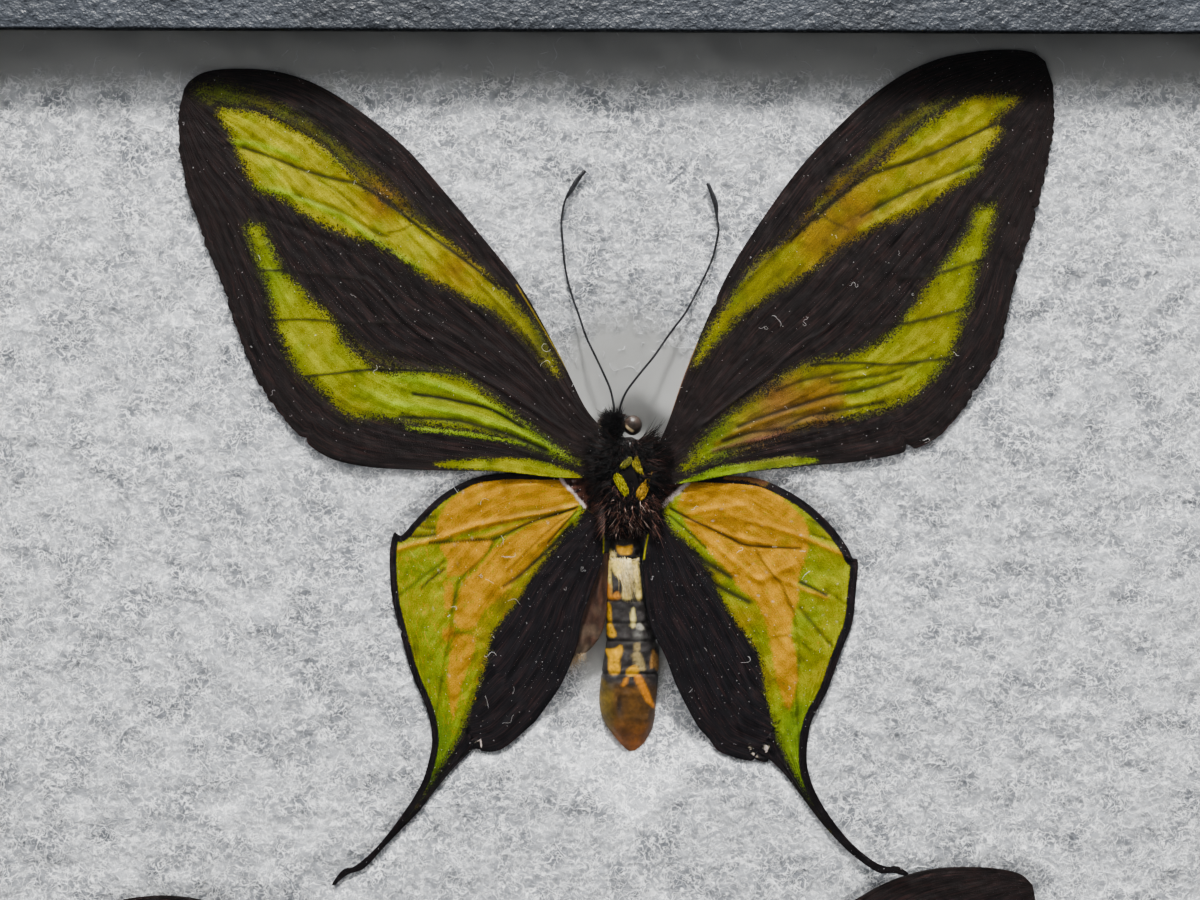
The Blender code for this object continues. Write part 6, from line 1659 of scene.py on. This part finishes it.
def eyePiece(label, side):
    # a sphere a little longer than wide, with a pale sliver on its inner rear side
    centre = np.array(bodyFacts["eyeCentre"]) + np.array([(1 if side == "right" else -1) * bodyFacts["eyeOffset"], 0, 0])
    rise, turn = np.linspace(-np.pi / 2, np.pi / 2, 37)[1:-1, None], 2 * np.pi * np.arange(64)[None] / 64
    way = np.stack([np.cos(rise) * np.cos(turn), np.cos(rise) * np.sin(turn), np.sin(rise) + 0 * turn], -1)
    grid = centre + way * bodyFacts["eyeRadius"] * np.array([0.97, 1.05, 1.0])
    ends = np.stack([centre + [0, 0, -bodyFacts["eyeRadius"]], centre + [0, 0, bodyFacts["eyeRadius"]]])
    points = np.concatenate([grid.reshape(-1, 3), ends])
    ring = np.arange(64)
    total = len(points)
    fans = np.concatenate([np.stack([np.full(64, total - 2), np.roll(ring, -1), ring], -1),
                           np.stack([np.full(64, total - 1), ring + 34 * 64, np.roll(ring, -1) + 34 * 64], -1)])
    mesh = meshFrom(f"{label}_eye_{side}_round", settle(butterflies[label], points),
                    [gridFaces(35, 64, closed=True), fans])
    away = points - (centre + np.array([-0.5, -0.58, 0.0]))
    along, aside = away[:, 0] * 0.79 - away[:, 1] * 0.61, away[:, 0] * 0.61 + away[:, 1] * 0.79
    pale = np.exp(-(along / 0.74) ** 4 - ((aside - 0.25 * along ** 2) / 0.22) ** 4) * (points[:, 2] > centre[2])
    addValues(mesh, "pale", np.clip(2 * pale - 0.5, 0, 1))
    return addPiece(mesh, eyeFinish, "eye", f"{label}_eye_{side}")


def hornMaterial():
    material, tree, shader = newMaterial("black antenna horn")
    place = objectPlace(tree)
    cloud = stretch(tree, noiseOf(tree, place, 1500, 3.0), 0.35, 0.65)
    tree.links.new(blendOf(tree, cloud, paint(15, 15, 18), paint(36, 36, 41)), shader.inputs["Base Color"])
    tree.links.new(stretch(tree, cloud, 0, 1, 0.34, 0.5), shader.inputs["Roughness"])
    tree.links.new(bumpOf(tree, noiseOf(tree, place, 5200, 2.0), 0.02 * mm, 0.6), shader.inputs["Normal"])
    return material


hornFinish = hornMaterial()


def antennaPiece(label, side):
    # a ringed thread that swells to a club, rising to the glass as a quarter of a sine
    count = 280
    share = np.linspace(0, 1, count)
    flat = curveThrough(feelers[side], count)
    f = feelerFacts
    height = f["low"] + (f["high"] - f["low"]) * np.sin(share * np.pi / 2)
    club = np.clip((share - f["clubStart"]) / (1 - f["clubStart"]), 0, 1)
    swell = 1 + (f["clubSwell"] - 1) * np.sin(np.minimum(1, club * 1.25) * np.pi * 0.8)
    rings = 1 - 0.07 * (np.cos(2 * np.pi * share * 62) > 0.6)
    radius = 1.15 * f["radius"] * swell * rings
    radius[-3:] *= (0.85, 0.6, 0.25)
    points, faces = tubes(np.column_stack([flat, height])[None], radius[None], 12)
    mesh = meshFrom(f"{label}_antenna_{side}_ringed", settle(butterflies[label], points), faces)
    return addPiece(mesh, hornFinish, "horn", f"{label}_antenna_{side}")


for label, hairCount, rings in (("upper", 5200, (260, 96)), ("lower", 1500, (130, 64))):
    abdomenPiece(label, *rings)
    thoraxPiece(label, hairCount)
    headPiece(label, hairCount // 4)
    foldPiece(label)
    for side in ("left", "right"):
        eyePiece(label, side)
        antennaPiece(label, side)
    print(label + " body")


# Floor, lights and camera

def floorPiece():
    material, tree, shader = newMaterial("pale floor")
    place = objectPlace(tree)
    cloud = noiseOf(tree, place, 6, 3.0)
    tree.links.new(blendOf(tree, cloud, paint(214, 214, 212), paint(224, 224, 221)), shader.inputs["Base Color"])
    shader.inputs["Roughness"].default_value = 0.7
    half = 1.5
    points = [(-half, -half, -0.0002), (half, -half, -0.0002), (half, half, -0.0002), (-half, half, -0.0002)]
    mesh = meshFrom("floor", points, [np.array([[0, 1, 2, 3]])], smooth=False)
    floor = bpy.data.objects.new("floor", mesh)
    mesh.materials.append(material)
    bpy.context.scene.collection.objects.link(floor)


lightFacts = {
    "target": (0.0, 0.03, 0.016),
    "world": (0.62, 0.68, 0.76),
    "worldStrength": 0.05,
    # name: direction from the middle in degrees from +Y, elevation, distance, size, power, colour
    "lamps": {
        "key": (0.0, 24.0, 1.6, 0.17, 52.0, (1.0, 0.99, 0.965)),
        "fill_left": (100.0, 36.0, 1.5, 1.1, 2.2, (0.98, 0.98, 1.0)),
        "fill_right": (-100.0, 36.0, 1.5, 1.1, 0.9, (0.95, 0.97, 1.0)),
    },
}


def lights():
    f = lightFacts
    world = bpy.data.worlds.new("studio")
    world.use_nodes = True
    background = world.node_tree.nodes["Background"]
    background.inputs["Color"].default_value = (*f["world"], 1.0)
    background.inputs["Strength"].default_value = f["worldStrength"]
    bpy.context.scene.world = world
    target = Vector(f["target"])
    for name, (turn, elevation, distance, size, power, colour) in f["lamps"].items():
        data = bpy.data.lights.new(name, "AREA")
        data.shape = "DISK"
        data.size = size
        data.energy = power
        data.color = colour
        lamp = bpy.data.objects.new(name, data)
        turn, elevation = math.radians(turn), math.radians(elevation)
        way = Vector((-math.sin(turn) * math.cos(elevation), math.cos(turn) * math.cos(elevation),
                      math.sin(elevation)))
        lamp.location = target + way * distance
        lamp.rotation_euler = (-way).to_track_quat("-Z", "Y").to_euler()
        lamp.visible_glossy = name == "key"  # no mirror image of the wide fills in the glass
        bpy.context.scene.collection.objects.link(lamp)


cameraFacts = {"middle": (0.0, 60.35 * mm), "height": 367.0 * mm, "lens": 73.9, "roll": 0.2}


def camera():
    data = bpy.data.cameras.new("camera")
    data.sensor_width = 36.0
    data.lens = cameraFacts["lens"]
    data.clip_start = 0.01
    made = bpy.data.objects.new("camera", data)
    made.location = (*cameraFacts["middle"], cameraFacts["height"])
    made.rotation_euler = (0, 0, math.radians(cameraFacts["roll"]))
    bpy.context.scene.collection.objects.link(made)
    bpy.context.scene.camera = made


floorPiece()
lights()
camera()
print("floor, lights and camera")
